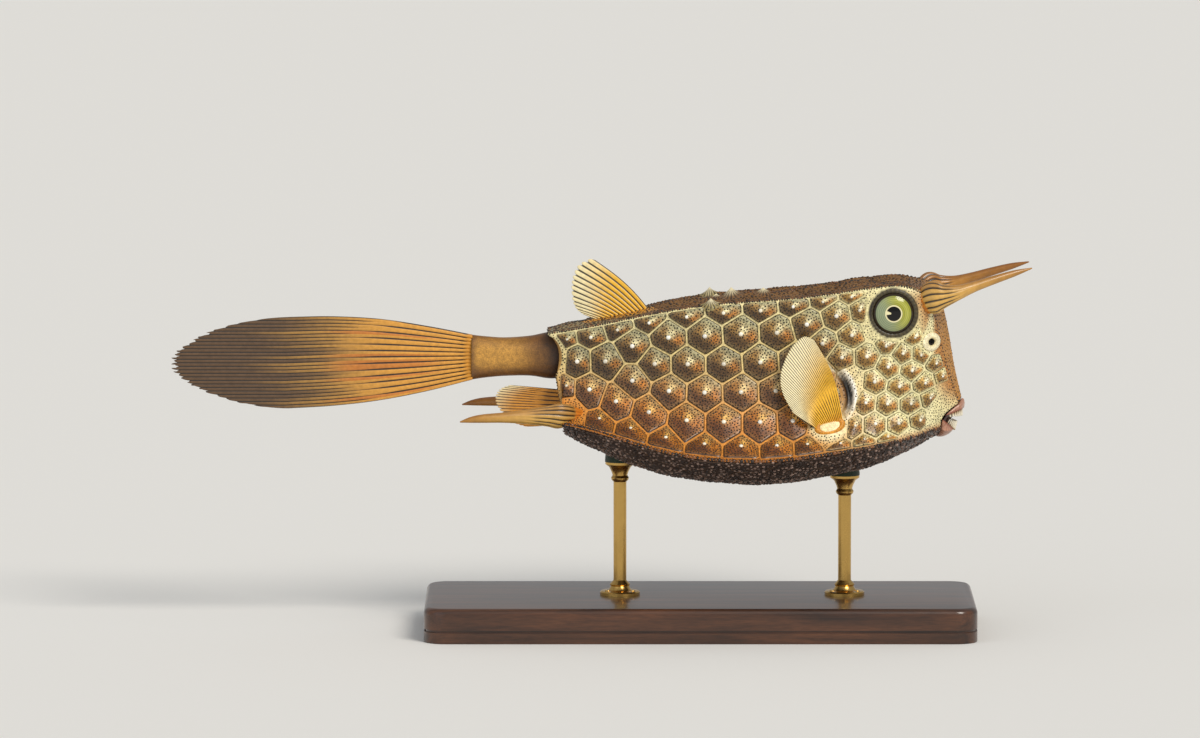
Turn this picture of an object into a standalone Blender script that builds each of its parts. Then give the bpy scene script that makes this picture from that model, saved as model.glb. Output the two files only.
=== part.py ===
# Longhorn cowfish, life size, as a still museum model on a plain stand.
# Metres, +Z up. The nose points along +X, the right flank faces -Y, and the
# origin is on the ground under the middle of the whole length.
import math
import random

import bmesh
import bpy
import numpy as np
from mathutils import Matrix, Vector
from mathutils.bvhtree import BVHTree

MM = 0.001
GAP = 0.35                # clearance between neighbouring pieces, mm
MERGE = 0.004             # points closer than this are one, mm
FLAT_ANGLE = 1.0          # faces that turn less than this are merged, degrees
LIFT = 60.0               # height of the belly's lowest point above the ground

# Lines of the bony shell, tail end first, all in mm and with heights above
# the lowest point of the belly. Each line has one point a station.
MID_BACK = (              # x, height
    (-21.0, 61.2), (-9.0, 63.8), (4.5, 66.6), (20.5, 70.0), (36.0, 72.8), (52.0, 74.4),
    (66.0, 75.6), (80.0, 76.8), (92.0, 78.6), (104.0, 80.8), (115.0, 82.0), (125.0, 82.0),
    (131.8, 79.4), (136.6, 71.5), (139.4, 60.0), (141.6, 47.0), (144.6, 33.8))
UPPER_RIDGE = (           # x, half width, height
    (-20.9, 11.0, 60.6), (-7.5, 13.8, 63.2), (5.0, 16.8, 66.0), (20.5, 20.0, 69.6),
    (35.0, 22.6, 72.4), (51.0, 24.0, 74.4), (66.0, 24.2, 75.5), (80.0, 23.9, 76.6),
    (92.0, 23.2, 78.0), (103.0, 22.4, 79.6), (113.0, 21.4, 80.6), (122.5, 20.6, 80.4),
    (129.0, 19.2, 77.0), (132.6, 16.2, 68.5), (135.4, 12.8, 57.0), (138.9, 9.4, 44.5),
    (143.2, 5.2, 31.8))
LOWER_RIDGE = (           # x, half width, height
    (-14.7, 29.5, 26.0), (-4.0, 35.5, 24.0), (7.5, 40.2, 21.2), (20.5, 44.2, 17.7),
    (34.0, 47.0, 15.0), (49.5, 48.3, 13.4), (65.0, 48.3, 13.1), (79.0, 46.8, 14.1),
    (90.5, 43.9, 15.5), (101.0, 39.4, 16.6), (110.5, 33.0, 17.7), (118.0, 27.0, 18.7),
    (124.0, 21.6, 19.8), (128.0, 17.6, 20.6), (130.8, 14.2, 21.3), (133.2, 11.0, 21.7),
    (136.2, 7.2, 22.0))
MID_BELLY = (             # x, height
    (-13.5, 19.5), (-3.5, 14.4), (8.5, 9.5), (20.5, 5.3), (34.5, 2.3), (50.0, 0.6),
    (65.5, 0.0), (79.5, 1.2), (91.5, 2.9), (103.0, 5.4), (112.5, 8.4), (119.5, 11.0),
    (125.5, 13.8), (129.2, 15.9), (131.4, 17.2), (132.9, 18.1), (133.8, 18.6))
TROUGH = (0.0, 0.3, 0.8, 1.4, 2.0, 2.2, 2.2, 2.2, 2.0, 1.6, 1.0, 0.6, 0.3, 0.3, 0.3, 0.2, 0.0)
CHEEK = (0.0, 0.0, 0.0, 0.0, 0.0, 0.0, 0.0, 0.0, 0.0, 0.0, 0.0, 0.3, 0.8, 1.2, 1.6, 2.0, 2.6)
MOUTH_NOTCH = 2.6         # how far the corners of the mouth lie behind its rim
SKIN_ROWS, BACK_STEPS, SIDE_STEPS, BELLY_STEPS = 24, 2, 6, 3

NECK_X = 100.5            # where the head is parted from the carapace
NECK_CUT = 0.4

# Six-sided plates of the side: width by place along the body (x, width)
PLATE_WIDTH = ((-20.0, 11.0), (10.0, 12.6), (35.0, 14.2), (62.0, 14.4), (85.0, 11.6), (105.0, 9.6),
               (122.0, 8.4), (140.0, 7.0))
PLATE_MARGIN = 4.5        # how far the plates' pattern runs past the ridges before they cut it
PLATE_PASSES = 40         # rounds of evening out the plates' middles
PLATE_LEAST = 22.0        # smallest plate that is kept, mm2
PLATE_RIM, PLATE_PEAK, PLATE_ROOT = 0.55, 1.5, 1.1      # heights and sunk depth
PLATE_SEAM = 0.62         # half the width of the pale seam between plates
# Places of the side with no plates: middle (x, height) and radius
BARE_PLACES = (((116.6, 69.5), 11.0), ((130.5, 74.0), 10.5), ((132.0, 57.6), 4.8), ((142.0, 26.0), 13.0),
               ((90.5, 26.5), 8.5), ((97.6, 43.0), 3.4), ((99.2, 37.5), 3.4), ((98.0, 31.5), 3.4),
               ((-12.0, 29.5), 10.0), ((-24.0, 50.6), 10.6))
# Plates of the back and the belly: half a plate's width as a share of the
# half width between the ridges, spacing along x, rim and peak heights
BACK_PLATES, BELLY_PLATES = (0.39, 14.5, 0.35, 0.8), (0.2, 16.5, 0.35, 0.7)
BACK_PLATES_TO, BELLY_PLATES_TO = 124.0, 121.0

# Peduncle: x, half height, half thickness, height of the middle
PEDUNCLE = ((-12.9, 9.0, 6.4, 50.8), (-20.0, 9.3, 6.9, 50.6), (-28.0, 8.0, 6.2, 50.4),
            (-38.0, 7.7, 5.4, 50.0), (-46.0, 8.3, 4.6, 49.9), (-51.4, 9.0, 3.8, 49.8))
PEDUNCLE_SIDES, NOTCH_SIDES = 16, 24
RECESS_X = -12.5          # floor of the hollow that the peduncle comes out of
RECESS_MARGIN = 1.3
NOTCH = (-24.0, 50.6, 9.0, 9.6)   # rounded notch in both flanks round it: x, height, half sizes

# Tail fin
TAIL_ROOT_X, TAIL_WIDE_X, TAIL_TIP_X = -51.75, -126.0, -172.0
TAIL_HALF = (9.0, 13.2, 16.4, 18.0, 18.4)       # half height, root to widest
TAIL_MID = (49.8, 49.2, 48.8, 48.2, 47.5)       # height of the middle line
TAIL_RAYS = 10

# Fins: root and outer edge in the side view (x, height), front ray first
DORSAL_ROOT = ((20.6, 67.6), (11.0, 65.6), (1.8, 63.6))
DORSAL_EDGE = ((-3.2, 89.6), (-8.4, 87.0), (-10.7, 82.5), (-11.4, 78.0), (-11.0, 73.0),
               (-9.6, 69.4), (-6.6, 66.9))
DORSAL_RAYS = 9
ANAL_ROOT = ((-10.5, 24.0), (-11.5, 30.0), (-12.5, 36.5))
ANAL_EDGE = ((-29.6, 21.8), (-34.5, 23.4), (-38.5, 26.6), (-41.2, 30.4), (-41.8, 34.0),
             (-40.0, 37.0), (-36.0, 38.6))
ANAL_RAYS = 9
# Pectoral fin: x, half width from the middle of the body, height
PECTORAL_ROOT = ((96.0, 29.6, 28.6), (91.0, 30.6, 26.0), (85.8, 31.6, 24.2))
PECTORAL_EDGE = ((84.8, 29.4, 59.8), (80.8, 29.6, 61.0), (76.6, 30.2, 57.6), (73.4, 31.2, 52.0),
                 (71.6, 32.8, 45.8), (72.4, 34.6, 39.0), (76.6, 36.4, 31.2))
PECTORAL_RAYS = 10

# Horns and rear spines, root to tip: x, half width, height, half height, half
# thickness, and how far the section leans in towards the back, degrees
HORN = ((122.0, 14.0, 72.0, 5.0, 3.4, 0), (128.0, 16.6, 74.4, 6.3, 4.0, 0),
        (133.0, 18.7, 75.7, 6.4, 4.1, 0), (137.5, 19.6, 76.5, 4.4, 3.3, 0),
        (142.5, 19.6, 77.7, 3.0, 2.6, 0), (149.0, 18.6, 79.9, 2.1, 1.9, 0),
        (157.0, 17.0, 82.5, 1.7, 1.5, 0), (165.0, 15.2, 84.9, 1.25, 1.1, 0),
        (172.0, 13.6, 86.8, 0.25, 0.25, 0))
REAR_SPINE = ((-1.0, 16.0, 27.4, 3.2, 2.6, 45), (-9.0, 21.5, 28.2, 5.2, 3.6, 45),
              (-15.5, 25.2, 28.8, 5.6, 3.8, 42), (-21.0, 27.4, 29.0, 4.3, 3.2, 30),
              (-29.0, 29.2, 29.0, 3.0, 2.5, 18), (-38.0, 30.6, 28.8, 2.1, 1.9, 8),
              (-46.5, 31.5, 28.5, 1.7, 1.5, 0), (-51.5, 31.9, 28.0, 1.15, 1.0, 0),
              (-55.6, 32.2, 27.2, 0.25, 0.25, 0))
SPINE_SIDES, SPINE_STEPS = 12, 8
SPINE_RIB = 0.09          # depth of the grooves at a spine's root, share of its radius

# Eye
EYE_X, EYE_HEIGHT = 116.6, 69.5
EYE_RADIUS, EYE_RIM_RADIUS, EYE_RIM_THICK = 8.2, 9.0, 1.0
EYE_BULGE, EYE_DEPTH, EYE_SIDES = 2.8, 5.0, 18

# Nostril and gill slit, in the side view (x, height)
NOSTRIL_X, NOSTRIL_HEIGHT, NOSTRIL_PAD, NOSTRIL_BORE = 132.0, 57.6, 3.4, 0.9
GILL = ((93.6, 46.8), (97.0, 43.2), (99.0, 39.0), (99.2, 34.6), (97.4, 30.6))
GILL_WIDTH, GILL_DEPTH = 0.9, 2.2

# Mouth: the gape's corner and its two edges (x, height)
GAPE_CORNER, GAPE_TOP, GAPE_LOW = (136.2, 26.4), (145.4, 29.4), (141.4, 21.2)
LIP_RINGS = ((0.985, 0.0), (1.0, 0.9), (0.9, 2.1), (0.72, 3.3), (0.48, 4.3), (0.2, 4.8))
TEETH = 9

# Low spines of the back: x, half width, height, radius at the foot
BACK_SPINES = ((46.4, 0.0, 75.4, 3.0), (52.4, 0.0, 78.0, 5.0), (65.2, 0.0, 77.8, 4.4))
RIDGE_SPINE = (44.0, 23.4, 76.4, 5.0)

# Stand
BASE_LENGTH, BASE_WIDTH, BASE_HEIGHT, BASE_MIDDLE_X = 220.0, 92.0, 14.0, 40.0
ROD_X, ROD_RADIUS, ROD_FOOT_RADIUS, ROD_PAD_RADIUS = (8.0, 98.0), 2.6, 8.0, 6.0
ROD_SIDES = 12


def along(points, t):
    """Point at t, 0 to 1, on the smooth curve through the points."""
    rows = np.asarray(points, dtype=float)
    last = len(rows) - 1
    place = min(max(t, 0.0), 1.0) * last
    i = min(int(place), last - 1)
    f = place - i
    p1, p2 = rows[i], rows[i + 1]
    p0 = rows[i - 1] if i else 2 * p1 - p2
    p3 = rows[i + 2] if i + 2 <= last else 2 * p2 - p1
    return 0.5 * (2 * p1 + (p2 - p0) * f + (2 * p0 - 5 * p1 + 4 * p2 - p3) * f * f
                  + (3 * p1 - p0 - 3 * p2 + p3) * f ** 3)


def lerp(a, b, t):
    return a + (b - a) * t


def make_object(name, verts, faces, color, roughness, metallic=0.0, smooth=40.0):
    """New object from points in mm, turned outwards, with its own finish."""
    mesh = bpy.data.meshes.new(name)
    mesh.from_pydata([Vector(v) * MM for v in verts], [], faces)
    obj = bpy.data.objects.new(name, mesh)
    bpy.context.scene.collection.objects.link(obj)
    tidy_mesh(obj)
    material = bpy.data.materials.new(name)
    material.use_nodes = True
    shader = material.node_tree.nodes["Principled BSDF"]
    shader.inputs["Base Color"].default_value = (*color, 1.0)
    shader.inputs["Roughness"].default_value = roughness
    shader.inputs["Metallic"].default_value = metallic
    mesh.materials.append(material)
    mesh.shade_smooth()
    mesh.set_sharp_from_angle(angle=math.radians(smooth))
    return obj


def tidy_mesh(obj, flat_angle=0.0):
    """Merge doubles and flat neighbours, split into triangles, face outwards."""
    bm = bmesh.new()
    bm.from_mesh(obj.data)
    bmesh.ops.remove_doubles(bm, verts=bm.verts, dist=MERGE * MM)
    bmesh.ops.dissolve_degenerate(bm, edges=bm.edges, dist=MERGE * MM)
    if flat_angle:
        bmesh.ops.dissolve_limit(bm, angle_limit=math.radians(flat_angle), verts=bm.verts,
                                 edges=bm.edges)
    bmesh.ops.triangulate(bm, faces=bm.faces)
    bmesh.ops.recalc_face_normals(bm, faces=bm.faces)
    bm.to_mesh(obj.data)
    bm.free()


def islands(bm):
    """Lists of faces, one a closed surface."""
    left = set(bm.faces)
    groups = []
    while left:
        seed = left.pop()
        group, front = [seed], [seed]
        while front:
            face = front.pop()
            for edge in face.edges:
                for other in edge.link_faces:
                    if other in left:
                        left.remove(other)
                        group.append(other)
                        front.append(other)
        groups.append(group)
    return groups


def volume(faces):
    total = 0.0
    for face in faces:
        a, b, c = (loop.vert.co for loop in face.loops[:3]) if len(face.loops) == 3 else (
            face.verts[0].co, face.verts[1].co, face.verts[2].co)
        total += a.dot(b.cross(c)) / 6
    return total


def keep_largest(obj):
    """Drop loose scraps and sealed hollows: one closed surface stays."""
    bm = bmesh.new()
    bm.from_mesh(obj.data)
    bmesh.ops.triangulate(bm, faces=bm.faces)
    groups = sorted(islands(bm), key=volume, reverse=True)
    scraps = [face for group in groups[1:] for face in group]
    bmesh.ops.delete(bm, geom=scraps, context="FACES")
    bm.to_mesh(obj.data)
    bm.free()


def combine(obj, others, operation, flat_angle=0.0):
    """One Boolean on a collection of closed meshes, applied; the others go."""
    group = bpy.data.collections.new(obj.name + "_pieces")
    bpy.context.scene.collection.children.link(group)
    for other in others:
        bpy.context.scene.collection.objects.unlink(other)
        group.objects.link(other)
    boolean = obj.modifiers.new("join", "BOOLEAN")
    boolean.operation = operation
    boolean.operand_type = "COLLECTION"
    boolean.collection = group
    boolean.solver = "MANIFOLD"
    bpy.context.view_layer.objects.active = obj
    bpy.ops.object.modifier_apply(modifier=boolean.name)
    for other in others:
        bpy.data.objects.remove(other)
    bpy.data.collections.remove(group)
    tidy_mesh(obj, flat_angle)
    keep_largest(obj)
    obj.data.shade_smooth()
    obj.data.set_sharp_from_angle(angle=math.radians(40))


def fuse(obj, others):
    combine(obj, others, "UNION", FLAT_ANGLE)


def cut(obj, others):
    combine(obj, others, "DIFFERENCE")


def loft(rings, flat_start=False):
    """Skin over rings of equal length, with a fan or one flat face at the ends."""
    n = len(rings[0])
    verts = [point for ring in rings for point in ring]
    faces = []
    for i in range(len(rings) - 1):
        for j in range(n):
            a, b = i * n + j, i * n + (j + 1) % n
            faces.append((a, b, b + n, a + n))
    if flat_start:
        faces.append(tuple(range(n))[::-1])
    for start, turn in ((0, -1), ((len(rings) - 1) * n, 1)):
        if flat_start and start == 0:
            continue
        middle = len(verts)
        verts.append(sum((Vector(v) for v in verts[start:start + n]), Vector()) / n)
        for j in range(n):
            faces.append((start + j, start + (j + 1) % n, middle)[::turn])
    return verts, faces


def turned(profile, sides, frame):
    """Solid turned from (radius, height) points round the frame's Z axis."""
    verts, rows, faces = [], [], []
    for radius, height in profile:
        if radius < 1e-6:
            rows.append([len(verts)] * sides)
            verts.append(frame @ Vector((0, 0, height)))
            continue
        rows.append(list(range(len(verts), len(verts) + sides)))
        for k in range(sides):
            angle = 2 * math.pi * k / sides
            spot = Vector((radius * math.cos(angle), radius * math.sin(angle), height))
            verts.append(frame @ spot)
    for low, high in zip(rows, rows[1:]):
        for k in range(sides):
            corners = (low[k], low[(k + 1) % sides], high[(k + 1) % sides], high[k])
            face = tuple(dict.fromkeys(corners))
            if len(face) > 2:
                faces.append(face)
    for row in (rows[0], rows[-1]):
        if len(set(row)) > 2:
            faces.append(tuple(row))
    return verts, faces


def flare(f):
    """How far the side has spread from the upper ridge (0) to the lower (1)."""
    return 0.75 * f ** 3.6 + 0.25 * f ** 20


STATIONS = [(*back, *upper, *lower, *belly, trough, cheek) for back, upper, lower, belly, trough, cheek
            in zip(MID_BACK, UPPER_RIDGE, LOWER_RIDGE, MID_BELLY, TROUGH, CHEEK)]


def half_section(s):
    """Left half of the shell's section at s, from the back to the belly."""
    tx, tz, dx, dw, dz, vx, vw, vz, bx, bz, trough, cheek = along(STATIONS, s)
    points = []
    for k in range(BACK_STEPS):
        u = k / BACK_STEPS
        points.append(Vector((lerp(tx, dx, u), dw * u,
                              lerp(tz, dz, u) - trough * math.sin(math.pi * u))))
    for k in range(SIDE_STEPS):
        f = math.sin(0.5 * math.pi * k / SIDE_STEPS)
        notch = MOUTH_NOTCH * math.sin(math.pi * f) * max(0.0, s * 16 - 15)
        points.append(Vector((lerp(dx, vx, f) - notch,
                              lerp(dw, vw, flare(f)) + cheek * math.sin(math.pi * f),
                              lerp(dz, vz, f))))
    for k in range(BELLY_STEPS + 1):
        u = k / BELLY_STEPS
        points.append(Vector((lerp(vx, bx, u), vw * (1 - u), bz + (vz - bz) * (1 - u) ** 2.2)))
    return [point + Vector((0, 0, LIFT)) for point in points]


def ring(s):
    half = half_section(s)
    other = [Vector((p.x, -p.y, p.z)) for p in half[-2:0:-1]]
    return half + other


def peduncle_ring(row, margin=0.0):
    """Rounded oblong section."""
    x, high, thick, middle = row
    points = []
    for k in range(PEDUNCLE_SIDES):
        angle = 2 * math.pi * k / PEDUNCLE_SIDES
        c, s = math.cos(angle), math.sin(angle)
        size = (abs(c / (thick + margin)) ** 2.4 + abs(s / (high + margin)) ** 2.4) ** (-1 / 2.4)
        points.append(Vector((x, size * c, LIFT + middle + size * s)))
    return points


def shell(name, offset=0.0):
    """The whole bony shell, head included, closed at both ends."""
    rows = [ring(k / SKIN_ROWS) for k in range(SKIN_ROWS + 1)]
    verts, faces = loft(rows, flat_start=True)
    obj = make_object(name, verts, faces, (0.55, 0.36, 0.14), 0.55)
    if offset:
        bm = bmesh.new()
        bm.from_mesh(obj.data)
        bm.normal_update()
        moves = [(v, v.normal.copy()) for v in bm.verts]
        for vert, normal in moves:
            vert.co += normal * offset * MM
        bm.to_mesh(obj.data)
        bm.free()
    return obj


class Surface:
    """The smooth shell, asked for a point and normal along a straight line."""

    def __init__(self, obj):
        bm = bmesh.new()
        bm.from_mesh(obj.data)
        self.tree = BVHTree.FromBMesh(bm)
        bm.free()

    def hit(self, start, direction):
        spot, normal, _, _ = self.tree.ray_cast(Vector(start) * MM, Vector(direction))
        if spot is None:
            return None, None
        return spot / MM, normal

    def side(self, x, z):
        """Right flank at x and height z above the belly."""
        return self.hit((x, -100, z + LIFT), (0, 1, 0))

    def back(self, x, y):
        return self.hit((x, y, 200), (0, 0, -1))

    def belly(self, x, y):
        return self.hit((x, y, 0), (0, 0, 1))


def ridge_at(line, x):
    """Half width and height of a ridge at x."""
    xs = [p[0] for p in line]
    return (float(np.interp(x, xs, [p[1] for p in line])), float(np.interp(x, xs, [p[2] for p in line])))


def clip(polygon, point, normal):
    """The part of a convex polygon that lies behind the line."""
    out = []
    for a, b in zip(polygon, polygon[1:] + polygon[:1]):
        da, db = (a - point).dot(normal), (b - point).dot(normal)
        if da <= 0:
            out.append(a)
        if (da < 0 < db) or (db < 0 < da):
            out.append(a.lerp(b, da / (da - db)))
    return out


def centroid(polygon):
    area, total = 0.0, Vector((0.0, 0.0))
    for a, b in zip(polygon, polygon[1:] + polygon[:1]):
        cross = a.x * b.y - b.x * a.y
        area += cross
        total += (a + b) * cross
    return total / (3 * area), area / 2


def cells(seeds, box):
    """Six-sided cells round the seeds, in a plane."""
    low_x, low_y, high_x, high_y = box
    frame = [Vector((low_x, low_y)), Vector((high_x, low_y)), Vector((high_x, high_y)),
             Vector((low_x, high_y))]
    result = []
    for seed in seeds:
        polygon = list(frame)
        near = sorted(seeds, key=lambda other: (other - seed).length_squared)[1:15]
        for other in near:
            polygon = clip(polygon, (seed + other) / 2, other - seed)
        result.append(polygon)
    return result


def side_seeds():
    """Middles of one flank's plates in the side view, evened out to the widths asked for."""
    draw = random.Random(7)
    xs, widths = zip(*PLATE_WIDTH)
    seeds = []
    x, column = -26.0, 0
    while x < 150.0:
        width = float(np.interp(x, xs, widths))
        top, low = ridge_at(UPPER_RIDGE, x)[1] + 4.0, ridge_at(LOWER_RIDGE, x)[1] - 4.0
        count = max(2, round((top - low) / (width * 1.73)))
        for k in range(count):
            share = (k + (0.25 if column % 2 else 0.75)) / count
            seeds.append((x + draw.uniform(-1, 1) * width * 0.05,
                          lerp(low, top, share) + draw.uniform(-1, 1) * width * 0.05))
        x += width * 0.5
        column += 1
    seeds = np.array(seeds)
    gx, gz = np.meshgrid(np.arange(-30, 152, 1.3), np.arange(4, 90, 1.3), indexing="ij")
    top = np.interp(gx, [p[0] for p in UPPER_RIDGE], [p[2] for p in UPPER_RIDGE]) + PLATE_MARGIN
    low = np.interp(gx, [p[0] for p in LOWER_RIDGE], [p[2] for p in LOWER_RIDGE]) - PLATE_MARGIN
    spots = np.stack([gx, gz], -1)[(gz < top) & (gz > low)]
    weight = np.interp(spots[:, 0], xs, widths) ** -4.0
    for _ in range(PLATE_PASSES):
        nearest = ((spots[:, None] - seeds[None]) ** 2).sum(-1).argmin(1)
        total = np.maximum(np.bincount(nearest, weight, len(seeds)), 1e-12)
        seeds = np.stack([np.bincount(nearest, weight * spots[:, axis], len(seeds)) / total
                          for axis in (0, 1)], 1)
    return [Vector(seed) for seed in seeds]


def side_cells():
    """Plate outlines of one flank in the side view, cut off at the ridges and bare places."""
    seeds = side_seeds()
    plates = []
    for seed, cell in zip(seeds, cells(seeds, (-34.0, 3.0, 160.0, 94.0))):
        for line, sign, margin in ((UPPER_RIDGE, 1, 0.9), (LOWER_RIDGE, -1, 0.7)):
            a = Vector((seed.x - 4, ridge_at(line, seed.x - 4)[1]))
            b = Vector((seed.x + 4, ridge_at(line, seed.x + 4)[1]))
            across = Vector((a.y - b.y, b.x - a.x)).normalized() * sign
            cell = clip(cell, a - across * margin, across)
        if len(cell) > 2:
            cell = clip(cell, Vector((rear_edge_x(seed.y) + 1.6, 0)), Vector((-1, 0)))
        if len(cell) > 2:
            cell = clear_of_bare(cell)
        if len(cell) > 2 and centroid(cell)[1] > PLATE_LEAST:
            plates.append(cell)
    return plates


def flat_cells(line, half_plate, spacing, end, bare):
    """Plate outlines of the back or belly seen from above, alike on both sides."""
    seeds, column = [], 0
    x = line[0][0] - spacing / 2
    while x < end + 2 * spacing:
        width = max(ridge_at(line, x)[0], 8.0)
        steps = range(-9, 10)
        seeds += [Vector((x, width * half_plate * k)) for k in steps if (k + column) % 2 == 0]
        x += spacing
        column += 1
    plates = []
    for seed, cell in zip(seeds, cells(seeds, (-50.0, -80.0, 180.0, 80.0))):
        for sign in (-1, 1):
            a = Vector((seed.x - 5, sign * (ridge_at(line, seed.x - 5)[0] - 1.2)))
            b = Vector((seed.x + 5, sign * (ridge_at(line, seed.x + 5)[0] - 1.2)))
            cell = clip(cell, a, Vector((a.y - b.y, b.x - a.x)).normalized() * sign)
        cell = clip(cell, Vector((line[0][0] + 3, 0)), Vector((-1, 0)))
        cell = clip(cell, Vector((end, 0)), Vector((1, 0)))
        if len(cell) < 3 or centroid(cell)[1] < 40:
            continue
        middle = centroid(cell)[0]
        if all(abs(middle.x - x) > dx or abs(abs(middle.y) - y) > dy for x, y, dx, dy in bare):
            plates.append(cell)
    return plates


def rear_edge_x(z):
    low, high = LOWER_RIDGE[0], UPPER_RIDGE[0]
    return float(np.interp(z, (low[2], high[2]), (low[0], high[0])))


def clear_of_bare(cell):
    """Outline cut back from the bare skin round the eye, horn, nostril, mouth, fins and spine."""
    for place, size in BARE_PLACES:
        away = centroid(cell)[0] - Vector(place)
        if away.length < size:
            return []
        cell = clip(cell, Vector(place) + away.normalized() * size, -away)
        if len(cell) < 3 or centroid(cell)[1] < PLATE_LEAST / 2:
            return []
    return cell


def inset(polygon, amount):
    """Convex outline moved in on every side, with short sides dropped."""
    middle, _ = centroid(polygon)
    result = list(polygon)
    for a, b in zip(polygon, polygon[1:] + polygon[:1]):
        side = b - a
        if side.length < 1e-6:
            continue
        across = Vector((side.y, -side.x)).normalized()
        if (middle - a).dot(across) > 0:
            across = -across
        result = clip(result, a - across * amount, across)
    kept = []
    for point in result:
        if not kept or (point - kept[-1]).length > 1.2:
            kept.append(point)
    if len(kept) > 3 and (kept[0] - kept[-1]).length < 1.2:
        kept.pop()
    return kept


def plate(cast, outline, name, rim=PLATE_RIM, peak=PLATE_PEAK):
    """Low six-sided plate with a raised middle, its root sunk into the shell."""
    middle = centroid(outline)[0]
    spot, normal = cast(middle.x, middle.y)
    rings = []
    for grow, height in ((1.03, -PLATE_ROOT), (0.93, rim)):
        points = []
        for corner in outline:
            place = middle.lerp(corner, grow)
            foot, _ = cast(place.x, place.y)
            if foot is None:
                return None
            points.append(foot + normal * height)
        rings.append(points)
    verts = [point for points in rings for point in points]
    n = len(outline)
    faces = [(j, (j + 1) % n, (j + 1) % n + n, j + n) for j in range(n)]
    verts.append(spot + normal * peak)
    faces += [(n + j, n + (j + 1) % n, 2 * n) for j in range(n)]
    faces.append(tuple(range(n))[::-1])
    return make_object(name, verts, faces, (0.5, 0.3, 0.1), 0.6)


def mirrored(obj, name):
    """Copy of an object on the other flank."""
    verts = [(v.co.x / MM, -v.co.y / MM, v.co.z / MM) for v in obj.data.vertices]
    faces = [tuple(p.vertices)[::-1] for p in obj.data.polygons]
    shader = obj.data.materials[0].node_tree.nodes["Principled BSDF"]
    color = tuple(shader.inputs["Base Color"].default_value)[:3]
    roughness = shader.inputs["Roughness"].default_value
    return make_object(name, verts, faces, color, roughness)


def both_sides(obj):
    return [obj, mirrored(obj, obj.name + "_other")]


def cone(name, foot, tip, radius, sides=8):
    axis = Vector(tip) - Vector(foot)
    frame = Matrix.Translation(Vector(foot)) @ axis.to_track_quat("Z", "Y").to_matrix().to_4x4()
    length = axis.length
    profile = ((radius, 0), (radius * 0.55, length * 0.45), (radius * 0.2, length * 0.85), (0, length))
    verts, faces = turned(profile, sides, frame)
    return make_object(name, verts, faces, (0.5, 0.3, 0.1), 0.6)


def side_frame(surface, x, z):
    """Frame on the right flank: Z out of the skin, Y up."""
    spot, normal = surface.side(x, z)
    out = Vector(normal)
    across = Vector((0, 0, 1)).cross(out).normalized()
    up = out.cross(across)
    frame = Matrix((across, up, out)).transposed().to_4x4()
    frame.translation = spot
    return frame


def eye_profile(grow=0.0):
    radius = EYE_RADIUS + grow
    points = [(0.0, -EYE_DEPTH - grow)]
    points += [(radius * math.sin(a), -(EYE_DEPTH + grow) * math.cos(a))
               for a in (math.pi / 8, math.pi / 4, 3 * math.pi / 8)]
    points += [(radius * math.cos(a), (EYE_BULGE + grow) * math.sin(a))
               for a in (0, math.pi / 8, math.pi / 4, 3 * math.pi / 8)]
    points.append((0.0, EYE_BULGE + grow))
    return points


def band(path, half_width, depth, height, name, surface):
    """Closed strip along a line on the right flank, for a groove or a rim."""
    rings = []
    for k in range(9):
        t = k / 8
        here = along(path, t)
        ahead, behind = along(path, min(1, t + 0.05)), along(path, max(0, t - 0.05))
        run = Vector(ahead - behind).normalized()
        spot, normal = surface.side(*here)
        across = Vector((run.y, 0, -run.x)) * half_width * max(0.25, math.sin(math.pi * t)) ** 0.6
        rings.append([spot - across - normal * depth, spot + across - normal * depth,
                      spot + across + normal * height, spot - across + normal * height])
    verts, faces = loft(rings)
    return make_object(name, verts, faces, (0.6, 0.5, 0.3), 0.5)


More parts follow.
